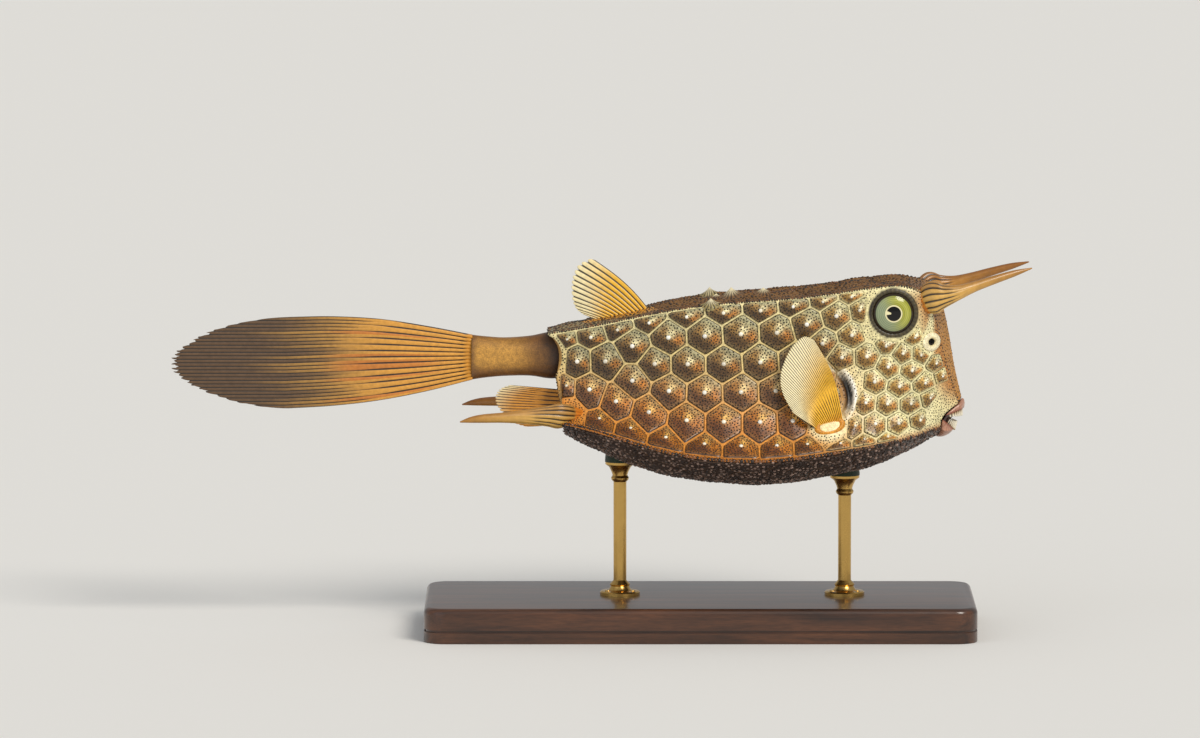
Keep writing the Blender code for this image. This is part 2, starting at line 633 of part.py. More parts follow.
def build_shell(surface):
    """Carapace and head: plates, spines, eye rims and nostrils on one shell."""
    whole = shell("carapace")
    raised = []
    for number, outline in enumerate(side_cells()):
        small = inset(outline, PLATE_SEAM)
        piece = plate(surface.side, small, f"plate{number}") if len(small) > 2 else None
        if piece:
            raised += both_sides(piece)
    dorsal_root = (7.0, 0.0, 17.0, 10.0)
    horn_root = (126.0, 17.0, 9.0, 9.0)
    rods = [(x, 0.0, ROD_PAD_RADIUS + 7, ROD_PAD_RADIUS + 5) for x in ROD_X]
    spine_root = (-12.0, 24.0, 7.0, 9.0)
    for line, cast, (half_plate, spacing, rim, peak), end, bare in (
            (UPPER_RIDGE, surface.back, BACK_PLATES, BACK_PLATES_TO, (dorsal_root, horn_root)),
            (LOWER_RIDGE, surface.belly, BELLY_PLATES, BELLY_PLATES_TO, (*rods, spine_root))):
        for number, outline in enumerate(flat_cells(line, half_plate, spacing, end, bare)):
            small = inset(outline, PLATE_SEAM)
            piece = plate(cast, small, f"flat{number}", rim, peak) if len(small) > 2 else None
            if piece:
                raised.append(piece)
    for x, w, z, radius in BACK_SPINES:
        raised.append(cone(f"thorn{x}", (x + 1.5, w, z + LIFT - 4.5), (x, w, z + LIFT), radius))
    x, w, z, radius = RIDGE_SPINE
    raised += both_sides(cone("ridge_thorn", (x + 1.5, -w + 1, z + LIFT - 5), (x, -w, z + LIFT), radius))
    frame = side_frame(surface, EYE_X, EYE_HEIGHT)
    rim = ((EYE_RADIUS - 1.5, -2.0), (EYE_RIM_RADIUS + 0.9, -1.2), (EYE_RIM_RADIUS + 0.7, 0.5),
           (EYE_RIM_RADIUS, EYE_RIM_THICK), (EYE_RADIUS - 0.5, EYE_RIM_THICK * 0.9))
    verts, faces = turned(rim, EYE_SIDES, frame)
    raised += both_sides(make_object("eye_rim", verts, faces, (0.2, 0.16, 0.1), 0.5))
    pad = side_frame(surface, NOSTRIL_X, NOSTRIL_HEIGHT)
    verts, faces = turned(((NOSTRIL_PAD, -1.2), (NOSTRIL_PAD, 0.1), (NOSTRIL_PAD * 0.7, 0.7), (0.0, 0.9)),
                          12, pad)
    raised += both_sides(make_object("nostril_pad", verts, faces, (0.8, 0.75, 0.5), 0.5))
    lip = [(x + 1.5, z) for x, z in GILL]
    raised += both_sides(band(lip, 1.1, 1.2, 0.7, "gill_rim", surface))
    fuse(whole, raised)

    holes = []
    root = PEDUNCLE[0][1:]
    recess = [peduncle_ring((x, *root), RECESS_MARGIN) for x in (RECESS_X - 20, RECESS_X)]
    holes.append(make_object("recess", *loft(recess), (0.2, 0.1, 0.05), 0.6))
    x, z, half_x, half_z = NOTCH
    turns = [2 * math.pi * k / NOTCH_SIDES for k in range(NOTCH_SIDES)]
    notch = [[Vector((x + half_x * math.cos(a), y, LIFT + z + half_z * math.sin(a))) for a in turns]
             for y in (-60, 60)]
    holes.append(make_object("notch", *loft(notch), (0.2, 0.1, 0.05), 0.6))
    verts, faces = turned(eye_profile(GAP), EYE_SIDES, frame)
    holes += both_sides(make_object("eye_socket", verts, faces, (0.1, 0.1, 0.1), 0.5))
    verts, faces = turned(((NOSTRIL_BORE, -2.6), (NOSTRIL_BORE, 2.0)), 8, pad)
    holes += both_sides(make_object("nostril_bore", verts, faces, (0.1, 0.1, 0.1), 0.5))
    holes += both_sides(band(GILL, GILL_WIDTH * 0.5, GILL_DEPTH, 1.5, "gill_cut", surface))
    cut(whole, holes)
    return whole


def part_head(whole):
    """Cut the head from the carapace with one thin slab."""
    slab_verts = [(NECK_X + dx * NECK_CUT / 2, y, z) for dx in (-1, 1) for y in (-80, 80) for z in (0, 200)]
    slab_faces = [(0, 1, 3, 2), (4, 6, 7, 5), (0, 4, 5, 1), (2, 3, 7, 6), (0, 2, 6, 4), (1, 5, 7, 3)]
    head = whole.copy()
    head.data = whole.data.copy()
    head.name = "head"
    bpy.context.scene.collection.objects.link(head)
    for obj, front in ((whole, False), (head, True)):
        verts = []
        for x, y, z in slab_verts:
            if front and x < NECK_X:
                x = -60.0
            if not front and x > NECK_X:
                x = 200.0
            verts.append((x, y, z))
        cut(obj, [make_object("slab", verts, slab_faces, (0, 0, 0), 0.5)])
        tidy_mesh(obj, FLAT_ANGLE)
        keep_largest(obj)
    head.data.materials.clear()
    skin = whole.data.materials[0].copy()
    skin.name = "head"
    skin.node_tree.nodes["Principled BSDF"].inputs["Base Color"].default_value = (0.72, 0.62, 0.33, 1)
    head.data.materials.append(skin)
    return head


def sweep(rows, ribs):
    """Tapered spine through its rows, with grooves that fade from the root."""
    rings = []
    for k in range(SPINE_STEPS + 1):
        t = k / SPINE_STEPS
        x, y, z, high, thick, lean = along(rows, t)
        ahead, behind = along(rows, min(1, t + 0.03)), along(rows, max(0, t - 0.03))
        run = Vector((ahead - behind)[:3]).normalized()
        across = run.cross(Vector((0, 0, 1))).normalized()
        roll = Matrix.Rotation(-math.radians(lean), 3, run)
        across = roll @ across
        up = across.cross(run)
        fade = max(0.0, 1 - t * 1.6)
        points = []
        for j in range(SPINE_SIDES):
            angle = 2 * math.pi * j / SPINE_SIDES
            groove = 1 + (SPINE_RIB if j % 2 else -SPINE_RIB) * fade * ribs
            points.append(Vector((x, y, z + LIFT)) + (across * thick * math.cos(angle)
                          + up * high * math.sin(angle)) * groove)
        rings.append(points)
    return loft(rings)


def fin_mesh(spine_of_ray, count, branch, thick_root, thick_tip, ridge, notch, rows=5):
    """Fin with its rays as ridges in both faces.

    spine_of_ray(u, v) gives the middle surface, u across the rays and v from
    root to tip. Each ray is one raised column that may branch into two."""
    per_ray = 4 if branch else 2
    columns = count * per_ray
    grid, kinds = [], []
    for j in range(columns + 1):
        place = j % per_ray
        if j == 0 or j == columns:
            kind = "ray"
        elif branch:
            kind = ("gap", "ray", "fork", "ray")[place]
        else:
            kind = ("gap", "ray")[place]
        kinds.append(kind)
        grid.append(j / columns)
    verts = []
    for j, u in enumerate(grid):
        for i in range(rows + 1):
            v = i / rows
            reach = v * (1 - (notch if kinds[j] == "gap" else notch * 0.6 if kinds[j] == "fork" else 0))
            here = spine_of_ray(u, reach)
            du = spine_of_ray(min(1, u + 0.01), reach) - spine_of_ray(max(0, u - 0.01), reach)
            dv = spine_of_ray(u, min(1, reach + 0.02)) - spine_of_ray(u, max(0, reach - 0.02))
            normal = du.cross(dv).normalized()
            half = lerp(thick_root, thick_tip, v ** 0.7) / 2
            lift = {"ray": ridge, "gap": 0.0, "fork": ridge * max(0.0, 1 - v * 2.2)}[kinds[j]]
            half += lift * (1 - 0.6 * v)
            verts.append(here + normal * half)
            verts.append(here - normal * half)
    faces = []
    stride = 2 * (rows + 1)
    for j in range(columns):
        for i in range(rows):
            a, b = j * stride + 2 * i, (j + 1) * stride + 2 * i
            for side in (0, 1):
                p, q, r, s = a + side, b + side, b + 2 + side, a + 2 + side
                faces += [(p, q, r), (p, r, s)] if side == 0 else [(p, r, q), (p, s, r)]
    for j in range(columns):
        for i in (0, rows):
            a, b = j * stride + 2 * i, (j + 1) * stride + 2 * i
            faces.append((a, a + 1, b + 1, b) if i == 0 else (a, b, b + 1, a + 1))
    for j in (0, columns):
        for i in range(rows):
            a = j * stride + 2 * i
            faces.append((a, a + 2, a + 3, a + 1) if j == 0 else (a, a + 1, a + 3, a + 2))
    return verts, faces


def tail_point(u, v):
    h = 1 - 2 * u
    end = TAIL_WIDE_X + (TAIL_TIP_X - TAIL_WIDE_X) * max(0.0, 1 - abs(h) ** 1.8) ** 0.6
    x = lerp(TAIL_ROOT_X, end, v)
    t = (x - TAIL_ROOT_X) / (TAIL_WIDE_X - TAIL_ROOT_X)
    middle = float(np.interp(min(t, 1.0), (0, 0.25, 0.5, 0.75, 1), TAIL_MID))
    half = along([(value, 0) for value in TAIL_HALF], min(t, 1.0))[0]
    return Vector((x, 0.0, LIFT + middle + h * half))


def flat_fin(root, edge, bow):
    """Middle surface of a fin on the body's middle plane."""
    def point(u, v):
        a, b = along(root, u), along(edge, u)
        x, z = lerp(a, b, v)
        push = bow * math.sin(math.pi * v) * (1 - u)
        return Vector((x + push, 0.0, z + push * 0.5 + LIFT))
    return point


def pectoral_point(u, v):
    a, b = along(PECTORAL_ROOT, u), along(PECTORAL_EDGE, u)
    x, w, z = lerp(a, b, v)
    bow = math.sin(math.pi * v)
    return Vector((x + 2.2 * bow * (1 - u), -w - 2.0 * bow, z + 1.0 * bow * (1 - u) + LIFT))


def build_mouth():
    """Lips from one rounded plug that a wedge parts, with teeth in the gape."""
    rim = ring(1.0)
    top, low = rim[0], rim[BACK_STEPS + SIDE_STEPS + BELLY_STEPS]
    middle = sum(rim, Vector()) / len(rim)
    slope = (top - low).normalized()
    out = Vector((slope.z, 0, -slope.x))
    rings = []
    for size, forward in LIP_RINGS:
        rings.append([middle + (p - middle) * size + out * (forward + GAP) for p in rim])
    verts, faces = loft(rings)
    upper = make_object("lip_upper", verts, faces, (0.46, 0.15, 0.06), 0.4)
    lower = upper.copy()
    lower.data = upper.data.copy()
    lower.name = "lip_lower"
    bpy.context.scene.collection.objects.link(lower)
    cx, cz = GAPE_CORNER
    up_slope = (GAPE_TOP[1] - cz) / (GAPE_TOP[0] - cx)
    low_slope = (GAPE_LOW[1] - cz) / (GAPE_LOW[0] - cx)
    far = 30.0
    for obj, slope_here, sign in ((upper, up_slope, -1), (lower, low_slope, 1)):
        profile = ((cx - 12, cz), (cx, cz), (cx + far, cz + slope_here * far),
                   (cx + far, cz + sign * 60), (cx - 12, cz + sign * 60))
        wedge = [(x, y, z + LIFT) for y in (-20, 20) for x, z in profile]
        faces = [(0, 1, 2, 3, 4), (9, 8, 7, 6, 5)]
        faces += [(i, (i + 1) % 5, (i + 1) % 5 + 5, i + 5) for i in range(5)]
        cut(obj, [make_object("wedge", wedge, faces, (0, 0, 0), 0.5)])
    for name, slope_here, tips, reach, sign in (
            ("teeth_upper", up_slope, (26.5 - cz) / 8.6, 7.4, -1),
            ("teeth_lower", low_slope, (24.2 - cz) / 6.6, 4.6, 1)):
        teeth(name, cx, cz, slope_here, tips, reach, sign)


def teeth(name, cx, cz, lip_slope, tip_slope, reach, sign):
    """Curved row of small teeth round the gape, as one notched strip."""
    lean = 1.0 if sign > 0 else 0.3

    def gum(x):
        return cz + lip_slope * (x - cx) + sign * GAP * math.hypot(1, lip_slope) + LIFT

    def spot(turn, height, inward):
        reach_in = reach - inward
        x = cx + 1.4 + reach_in * math.cos(turn) ** 0.8
        y = reach_in * 0.78 * math.sin(turn)
        tip = cz + tip_slope * (x + lean - cx) + LIFT
        return Vector((x + lean * height, y, lerp(gum(x), tip, height)))

    rings = []
    spread = math.radians(68)
    for k in range(TEETH):
        for step, height in ((0.0, 0.45), (0.16, 1.0), (0.78, 1.0), (0.94, 0.45)):
            turn = spread * (2 * (k + step) / TEETH - 1)
            rings.append([spot(turn, 0.0, 0.0), spot(turn, height, 0.0),
                          spot(turn, height, 0.6), spot(turn, 0.0, 1.0)])
    verts, faces = loft(rings)
    make_object(name, verts, faces, (0.8, 0.76, 0.66), 0.3)


def build_stand(cutter):
    bm = bmesh.new()
    bmesh.ops.create_cube(bm, size=1.0)
    for vert in bm.verts:
        vert.co = Vector((BASE_MIDDLE_X + vert.co.x * BASE_LENGTH, vert.co.y * BASE_WIDTH,
                          (vert.co.z + 0.5) * BASE_HEIGHT))
    upright = [e for e in bm.edges if abs(e.verts[0].co.z - e.verts[1].co.z) > 1]
    bmesh.ops.bevel(bm, geom=upright, offset=9.0, segments=5, profile=0.5, affect="EDGES")
    top = [e for e in bm.edges if min(v.co.z for v in e.verts) > BASE_HEIGHT - 0.1
           and any(f.normal.z < 0.5 for f in e.link_faces)]
    bmesh.ops.bevel(bm, geom=top, offset=2.4, segments=3, profile=0.5, affect="EDGES")
    verts = [v.co.copy() for v in bm.verts]
    faces = [tuple(v.index for v in f.verts) for f in bm.faces]
    bm.free()
    make_object("stand_base", verts, faces, (0.06, 0.035, 0.02), 0.35)
    for name, x in zip(("stand_rod_rear", "stand_rod_front"), ROD_X):
        foot = BASE_HEIGHT + GAP
        belly = float(np.interp(x, [p[0] for p in MID_BELLY], [p[1] for p in MID_BELLY])) + LIFT
        profile = ((ROD_FOOT_RADIUS, foot), (ROD_FOOT_RADIUS, foot + 1.6), (ROD_FOOT_RADIUS - 1, foot + 2.4),
                   (ROD_RADIUS + 1.2, foot + 3.2), (ROD_RADIUS, foot + 5.0), (ROD_RADIUS, belly - 8.0),
                   (ROD_RADIUS + 0.8, belly - 6.0), (ROD_PAD_RADIUS, belly - 2.2),
                   (ROD_PAD_RADIUS, belly + 4.0))
        verts, faces = turned(profile, ROD_SIDES, Matrix.Translation((x, 0, 0)))
        rod = make_object(name, verts, faces, (0.7, 0.5, 0.2), 0.3, metallic=1.0)
        cut(rod, [cutter_copy(cutter)])


def cutter_copy(cutter):
    copy = cutter.copy()
    copy.data = cutter.data.copy()
    bpy.context.scene.collection.objects.link(copy)
    return copy


def fitted(name, mesh, cutter, color, roughness):
    """Object cut clear of the shell, so that it meets it face to face."""
    verts, faces = mesh
    obj = make_object(name, verts, faces, color, roughness)
    cut(obj, [cutter_copy(cutter)])
    return obj


def build():
    for obj in list(bpy.data.objects):
        bpy.data.objects.remove(obj)
    cutter = shell("cutter", GAP)
    smooth = shell("smooth")
    surface = Surface(smooth)
    bpy.data.objects.remove(smooth)

    whole = build_shell(surface)
    part_head(whole)

    frame = side_frame(surface, EYE_X, EYE_HEIGHT)
    verts, faces = turned(eye_profile(), EYE_SIDES, frame)
    eye = make_object("eye_right", verts, faces, (0.45, 0.5, 0.2), 0.15)
    mirrored(eye, "eye_left")

    ochre = (0.62, 0.36, 0.08)
    for name, rows in (("horn", HORN), ("rear_spine", REAR_SPINE)):
        rows = [(x, -w, *rest) for x, w, *rest in rows]
        right = fitted(name + "_right", sweep(rows, 1.0), cutter, ochre, 0.45)
        mirrored(right, name + "_left")

    rings = [peduncle_ring(along(PEDUNCLE, k / 8)) for k in range(9)]
    verts, faces = loft(rings)
    make_object("tail_peduncle", verts, faces, (0.36, 0.2, 0.06), 0.5)

    verts, faces = fin_mesh(tail_point, TAIL_RAYS, True, 4.0, 0.6, 0.45, 0.02, rows=7)
    make_object("tail_fin", verts, faces, (0.5, 0.26, 0.04), 0.5)
    yellow = (0.86, 0.55, 0.04)
    fitted("dorsal_fin", fin_mesh(flat_fin(DORSAL_ROOT, DORSAL_EDGE, 1.6), DORSAL_RAYS, False,
                                  2.6, 0.6, 0.4, 0.04), cutter, yellow, 0.45)
    fitted("anal_fin", fin_mesh(flat_fin(ANAL_ROOT, ANAL_EDGE, -1.2), ANAL_RAYS, False,
                                2.4, 0.6, 0.4, 0.04), cutter, yellow, 0.45)
    right = fitted("pectoral_fin_right", fin_mesh(pectoral_point, PECTORAL_RAYS, False,
                                                  3.2, 0.6, 0.4, 0.03), cutter, yellow, 0.45)
    mirrored(right, "pectoral_fin_left")
    build_mouth()
    build_stand(cutter)
    bpy.data.objects.remove(cutter)


build()
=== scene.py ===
# Longhorn cowfish: finishes and fine forms of the museum model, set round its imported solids.
import math
import random

import bmesh
import bpy
import numpy as np
from mathutils import Matrix, Vector
from mathutils.bvhtree import BVHTree


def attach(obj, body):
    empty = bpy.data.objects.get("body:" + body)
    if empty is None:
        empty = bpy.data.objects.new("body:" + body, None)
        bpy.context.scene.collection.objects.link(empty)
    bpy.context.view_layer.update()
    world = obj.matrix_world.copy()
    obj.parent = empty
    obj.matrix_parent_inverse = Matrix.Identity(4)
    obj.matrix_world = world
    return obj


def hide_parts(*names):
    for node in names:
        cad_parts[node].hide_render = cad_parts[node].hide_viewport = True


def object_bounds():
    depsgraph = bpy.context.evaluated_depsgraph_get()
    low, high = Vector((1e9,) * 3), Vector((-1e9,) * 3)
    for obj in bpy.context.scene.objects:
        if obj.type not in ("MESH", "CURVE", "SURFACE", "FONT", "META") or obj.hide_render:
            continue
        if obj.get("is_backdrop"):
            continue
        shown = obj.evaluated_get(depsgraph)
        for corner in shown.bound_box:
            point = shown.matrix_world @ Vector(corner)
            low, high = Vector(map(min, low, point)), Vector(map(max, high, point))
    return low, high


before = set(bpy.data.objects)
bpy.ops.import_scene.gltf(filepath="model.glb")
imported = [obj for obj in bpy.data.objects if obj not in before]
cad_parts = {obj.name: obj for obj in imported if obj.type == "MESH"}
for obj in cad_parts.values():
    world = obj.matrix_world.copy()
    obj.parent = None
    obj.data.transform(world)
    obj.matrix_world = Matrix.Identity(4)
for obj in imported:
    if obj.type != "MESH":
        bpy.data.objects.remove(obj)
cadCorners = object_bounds()
mm = 0.001
lift = 60.0               # height of the belly's lowest point above the floor, mm

# Lines of the bony shell, tail end first, in mm, heights above the belly's lowest point
shellLines = {
    "midBack": (          # x, height
        (-21.0, 61.2), (-9.0, 63.8), (4.5, 66.6), (20.5, 70.0), (36.0, 72.8), (52.0, 74.4),
        (66.0, 75.6), (80.0, 76.8), (92.0, 78.6), (104.0, 80.8), (115.0, 82.0), (125.0, 82.0),
        (131.8, 79.4), (136.6, 71.5), (139.4, 60.0), (141.6, 47.0), (144.6, 33.8)),
    "upperRidge": (       # x, half width, height
        (-20.9, 11.0, 60.6), (-7.5, 13.8, 63.2), (5.0, 16.8, 66.0), (20.5, 20.0, 69.6),
        (35.0, 22.6, 72.4), (51.0, 24.0, 74.4), (66.0, 24.2, 75.5), (80.0, 23.9, 76.6),
        (92.0, 23.2, 78.0), (103.0, 22.4, 79.6), (113.0, 21.4, 80.6), (122.5, 20.6, 80.4),
        (129.0, 19.2, 77.0), (132.6, 16.2, 68.5), (135.4, 12.8, 57.0), (138.9, 9.4, 44.5),
        (143.2, 5.2, 31.8)),
    "lowerRidge": (       # x, half width, height
        (-14.7, 29.5, 26.0), (-4.0, 35.5, 24.0), (7.5, 40.2, 21.2), (20.5, 44.2, 17.7),
        (34.0, 47.0, 15.0), (49.5, 48.3, 13.4), (65.0, 48.3, 13.1), (79.0, 46.8, 14.1),
        (90.5, 43.9, 15.5), (101.0, 39.4, 16.6), (110.5, 33.0, 17.7), (118.0, 27.0, 18.7),
        (124.0, 21.6, 19.8), (128.0, 17.6, 20.6), (130.8, 14.2, 21.3), (133.2, 11.0, 21.7),
        (136.2, 7.2, 22.0)),
    "midBelly": (         # x, height
        (-13.5, 19.5), (-3.5, 14.4), (8.5, 9.5), (20.5, 5.3), (34.5, 2.3), (50.0, 0.6),
        (65.5, 0.0), (79.5, 1.2), (91.5, 2.9), (103.0, 5.4), (112.5, 8.4), (119.5, 11.0),
        (125.5, 13.8), (129.2, 15.9), (131.4, 17.2), (132.9, 18.1), (133.8, 18.6)),
    "trough": (0, .3, .8, 1.4, 2, 2.2, 2.2, 2.2, 2, 1.6, 1, .6, .3, .3, .3, .2, 0),
    "cheek": (0, 0, 0, 0, 0, 0, 0, 0, 0, 0, 0, .3, .8, 1.2, 1.6, 2, 2.6),
    "mouthNotch": 2.6}
stations = [(*back, *upper, *lower, *belly, trough, cheek) for back, upper, lower, belly, trough, cheek
            in zip(shellLines["midBack"], shellLines["upperRidge"], shellLines["lowerRidge"],
                   shellLines["midBelly"], shellLines["trough"], shellLines["cheek"])]
eyePlace, noseHole = (116.6, 69.5), (132.0, 57.6)      # x, height


def along(points, t):
    # smooth curve through the points, at t from 0 to 1
    rows = np.asarray(points, float).reshape(len(points), -1)
    place = np.clip(np.asarray(t, float), 0, 1) * (len(rows) - 1)
    i = np.minimum(place.astype(int), len(rows) - 2)
    f = (place - i)[..., None]
    padded = np.vstack([2 * rows[:1] - rows[1:2], rows, 2 * rows[-1:] - rows[-2:-1]])
    a, b, c, d = padded[i], padded[i + 1], padded[i + 2], padded[i + 3]
    return 0.5 * (2 * b + (c - a) * f + (2 * a - 5 * b + 4 * c - d) * f ** 2
                  + (3 * b - a - 3 * c + d) * f ** 3)


def lerp(a, b, t):
    return a + (b - a) * t


def ease(low, high, value):
    # 0 below low, 1 above high, smooth between, and the other way round where low is the larger
    t = np.clip((np.asarray(value, float) - low) / (high - low), 0, 1)
    return t * t * (3 - 2 * t)


def tone(hexText):
    # sRGB hex to linear colour
    parts = np.array([int(hexText[i:i + 2], 16) / 255 for i in (1, 3, 5)])
    return np.where(parts <= 0.04045, parts / 12.92, ((parts + 0.055) / 1.055) ** 2.4)


def mix(a, b, share):
    return a + (b - a) * np.asarray(share, float)[..., None]


def plain(hexText, shape):
    return tone(hexText) + np.zeros(shape)


def painted(colour, *coats):
    # coats of (hex, share) laid over a colour one after the other
    for hexText, share in coats:
        colour = mix(colour, tone(hexText), share)
    return colour


def addNode(tree, kind, settings=None, links=None):
    # one node with its settings (a property or an input) and its links, input name to (node, output)
    node = tree.nodes.new(kind)
    for name, value in (settings or {}).items():
        if name in node.inputs.keys():
            node.inputs[name].default_value = value
        else:
            setattr(node, name, value)
    for name, (source, output) in (links or {}).items():
        tree.links.new(source.outputs[output], node.inputs[name])
    return node


def newMaterial(name, settings):
    material = bpy.data.materials.new(name)
    material.use_nodes = True
    shader = material.node_tree.nodes["Principled BSDF"]
    for key, value in settings.items():
        shader.inputs[key].default_value = value
    return material, material.node_tree, shader


def texture(tree, kind, size, place, **settings):
    # noise or cells of a real size in mm
    return addNode(tree, "ShaderNodeTex" + kind, {"Scale": 1 / (size * mm), **settings}, {"Vector": place})


def stretched(tree, source, low, high, least, most):
    # values from low to high drawn out to run from least to most
    node = addNode(tree, "ShaderNodeMapRange", {"From Min": low, "From Max": high, "To Min": least,
                                                "To Max": most}, {"Value": source})
    return node.outputs["Result"]


def multiplied(tree, first, second):
    node = addNode(tree, "ShaderNodeMix", {"data_type": "RGBA", "blend_type": "MULTIPLY"})
    node.inputs[0].default_value = 1.0
    tree.links.new(first, node.inputs[6])
    tree.links.new(second, node.inputs[7])
    return node.outputs[2]


def roughened(tree, shader, height, strength):
    relief = addNode(tree, "ShaderNodeBump", {"Strength": strength, "Distance": 0.0002}, {"Height": height})
    tree.links.new(relief.outputs["Normal"], shader.inputs["Normal"])


def paintedFinish(name, roughness, coat, mottle, mottleSize, grain, bump=0.12, speckle=0.0, speckleSize=0.45):
    # Painted cast resin under a thin satin varnish: soft gloss, with fine skin grain in the cast.
    # mottleSize, speckleSize and grain are real sizes in mm of colour patches, flecks and skin grain.
    material, tree, shader = newMaterial(name, {"Roughness": roughness, "IOR": 1.5, "Coat Weight": coat,
                                                "Coat Roughness": 0.22})
    place = (addNode(tree, "ShaderNodeTexCoord"), "Object")
    tint = addNode(tree, "ShaderNodeVertexColor", {"layer_name": "tint"})
    patches = (texture(tree, "Noise", mottleSize, place, Detail=4.0), "Fac")
    uneven = stretched(tree, patches, 0.3, 0.7, 1 - mottle, 1 + mottle)
    colour = multiplied(tree, tint.outputs["Color"], uneven)
    if speckle:
        flecks = (texture(tree, "Noise", speckleSize, place, Detail=2.0), "Fac")
        colour = multiplied(tree, colour, stretched(tree, flecks, 0.4, 0.6, 1 - speckle, 1 + speckle))
    tree.links.new(colour, shader.inputs["Base Color"])
    wear = stretched(tree, patches, 0.3, 0.7, roughness - 0.08, roughness + 0.1)
    tree.links.new(wear, shader.inputs["Roughness"])
    roughened(tree, shader, (texture(tree, "Voronoi", grain, place), "Distance"), bump)
    return material


def paintPoints(mesh, tints):
    layer = mesh.color_attributes.new("tint", "FLOAT_COLOR", "POINT")
    full = np.ones((len(mesh.vertices), 4), np.float32)
    full[:, :3] = np.clip(tints, 0, 1)
    layer.data.foreach_set("color", full.ravel())


def closedMesh(name, points, faces, tints=None):
    # object from points in mm, faces turned outwards, with a painted colour at each point
    mesh = bpy.data.meshes.new(name)
    mesh.from_pydata((np.asarray(points, float) * mm).tolist(), [], [tuple(f) for f in faces])
    if tints is not None:
        paintPoints(mesh, tints)
    shape = bmesh.new()
    shape.from_mesh(mesh)
    bmesh.ops.recalc_face_normals(shape, faces=shape.faces)
    shape.to_mesh(mesh)
    shape.free()
    mesh.shade_smooth()
    piece = bpy.data.objects.new(name, mesh)
    bpy.context.scene.collection.objects.link(piece)
    return piece


def settle(piece, material, slotName, *nodes):
    # finish, body and the solids that the piece stands for; slotName is not used
    piece.data.materials.clear()
    piece.data.materials.append(material)
    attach(piece, "root")
    if nodes:
        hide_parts(*nodes)
    return piece


def mirrorPiece(piece, name):
    # same piece on the left flank
    other = piece.copy()
    other.data = piece.data.copy()
    other.name = name
    bpy.context.scene.collection.objects.link(other)
    other.data.transform(Matrix.Diagonal((1, -1, 1, 1)))
    other.data.flip_normals()
    return other


def settlePair(piece, material, slotName, node=None):
    # a piece whose name ends in _right, settled with its mirror image
    left = mirrorPiece(piece, piece.name.replace("_right", "_left"))
    for half, side in ((left, "_left"), (piece, "_right")):
        settle(half, material, slotName, *([node + side] if node else []))
    return left


def gridFaces(rows, columns, wrap, start=0):
    i, j = np.meshgrid(np.arange(rows - 1), np.arange(columns if wrap else columns - 1), indexing="ij")
    a = start + i * columns + j
    b = start + i * columns + (j + 1) % columns
    return np.stack([a, b, b + columns, a + columns], -1).reshape(-1, 4).tolist()


def tubeFaces(rows, columns):
    # rings of points joined up, both ends closed
    ends = [list(range(columns)), list(range((rows - 1) * columns, rows * columns))[::-1]]
    return gridFaces(rows, columns, True) + ends


# The skin of the shell, head and peduncle
skin = {"backSteps": 26, "sideSteps": 80, "bellySteps": 34, "bodyStep": 1.2, "headStep": 0.55,
        "faceStep": 0.8, "looseStep": 99, "faceShare": 0.35, "headFrom": 86.0, "faceFrom": 131,
        "ridgeRound": 4, "recessX": -12.5, "recessMargin": 1.3,
        "notch": (-24.0, 50.6, 9.0, 9.6), "notchFade": 10.0}
peduncle = ((-12.9, 9.0, 6.4, 50.8), (-20.0, 9.3, 6.9, 50.6), (-28.0, 8.0, 6.2, 50.4),
            (-38.0, 7.7, 5.4, 50.0), (-46.0, 8.3, 4.6, 49.9), (-51.4, 9.0, 3.8, 49.8))
gillLine = ((93.6, 46.8), (97.0, 43.2), (99.0, 39.0), (99.2, 34.6), (97.4, 30.6))


def flare(f):
    return 0.75 * f ** 3.6 + 0.25 * f ** 20


def halfSections(s, backSteps, sideSteps, bellySteps):
    # left half of the shell's section at each s, from the middle of the back to that of the belly
    s = np.asarray(s, float)
    tx, tz, dx, dw, dz, vx, vw, vz, bx, bz, trough, cheek = (c[:, None] for c in along(stations, s).T)
    u = np.arange(backSteps) / backSteps
    back = (lerp(tx, dx, u), dw * u, lerp(tz, dz, u) - trough * np.sin(np.pi * u))
    f = np.sin(0.5 * np.pi * np.arange(sideSteps) / sideSteps)
    notch = shellLines["mouthNotch"] * np.sin(np.pi * f) * np.maximum(0, s[:, None] * 16 - 15)
    side = (lerp(dx, vx, f) - notch, lerp(dw, vw, flare(f)) + cheek * np.sin(np.pi * f), lerp(dz, vz, f))
    u = np.arange(bellySteps + 1) / bellySteps
    belly = (lerp(vx, bx, u), vw * (1 - u), bz + (vz - bz) * (1 - u) ** 2.2)
    half = np.concatenate([np.stack(np.broadcast_arrays(*part), -1) for part in (back, side, belly)], 1)
    return half + (0, 0, lift)


def wholeRings(half):
    other = half[:, -2:0:-1] * (1, -1, 1)
    return np.concatenate([half, other], 1)


def peduncleRing(row, turn, margin=0.0):
    x, high, thick, middle = row
    c, s = np.cos(turn), np.sin(turn)
    size = (np.abs(c / (thick + margin)) ** 2.4 + np.abs(s / (high + margin)) ** 2.4) ** (-1 / 2.4)
    return np.stack([np.full_like(c, x), size * c, lift + middle + size * s], -1)


def gridNormals(rings):
    run = np.gradient(rings, axis=0)
    around = np.roll(rings, -1, 1) - np.roll(rings, 1, 1)
    normal = np.cross(around, run)
    length = np.linalg.norm(normal, axis=-1, keepdims=True)
    normal = normal / np.maximum(length, 1e-9)
    middle = rings.mean(1, keepdims=True)
    outward = ((rings - middle) * normal).sum(-1).mean()
    return normal if outward > 0 else -normal


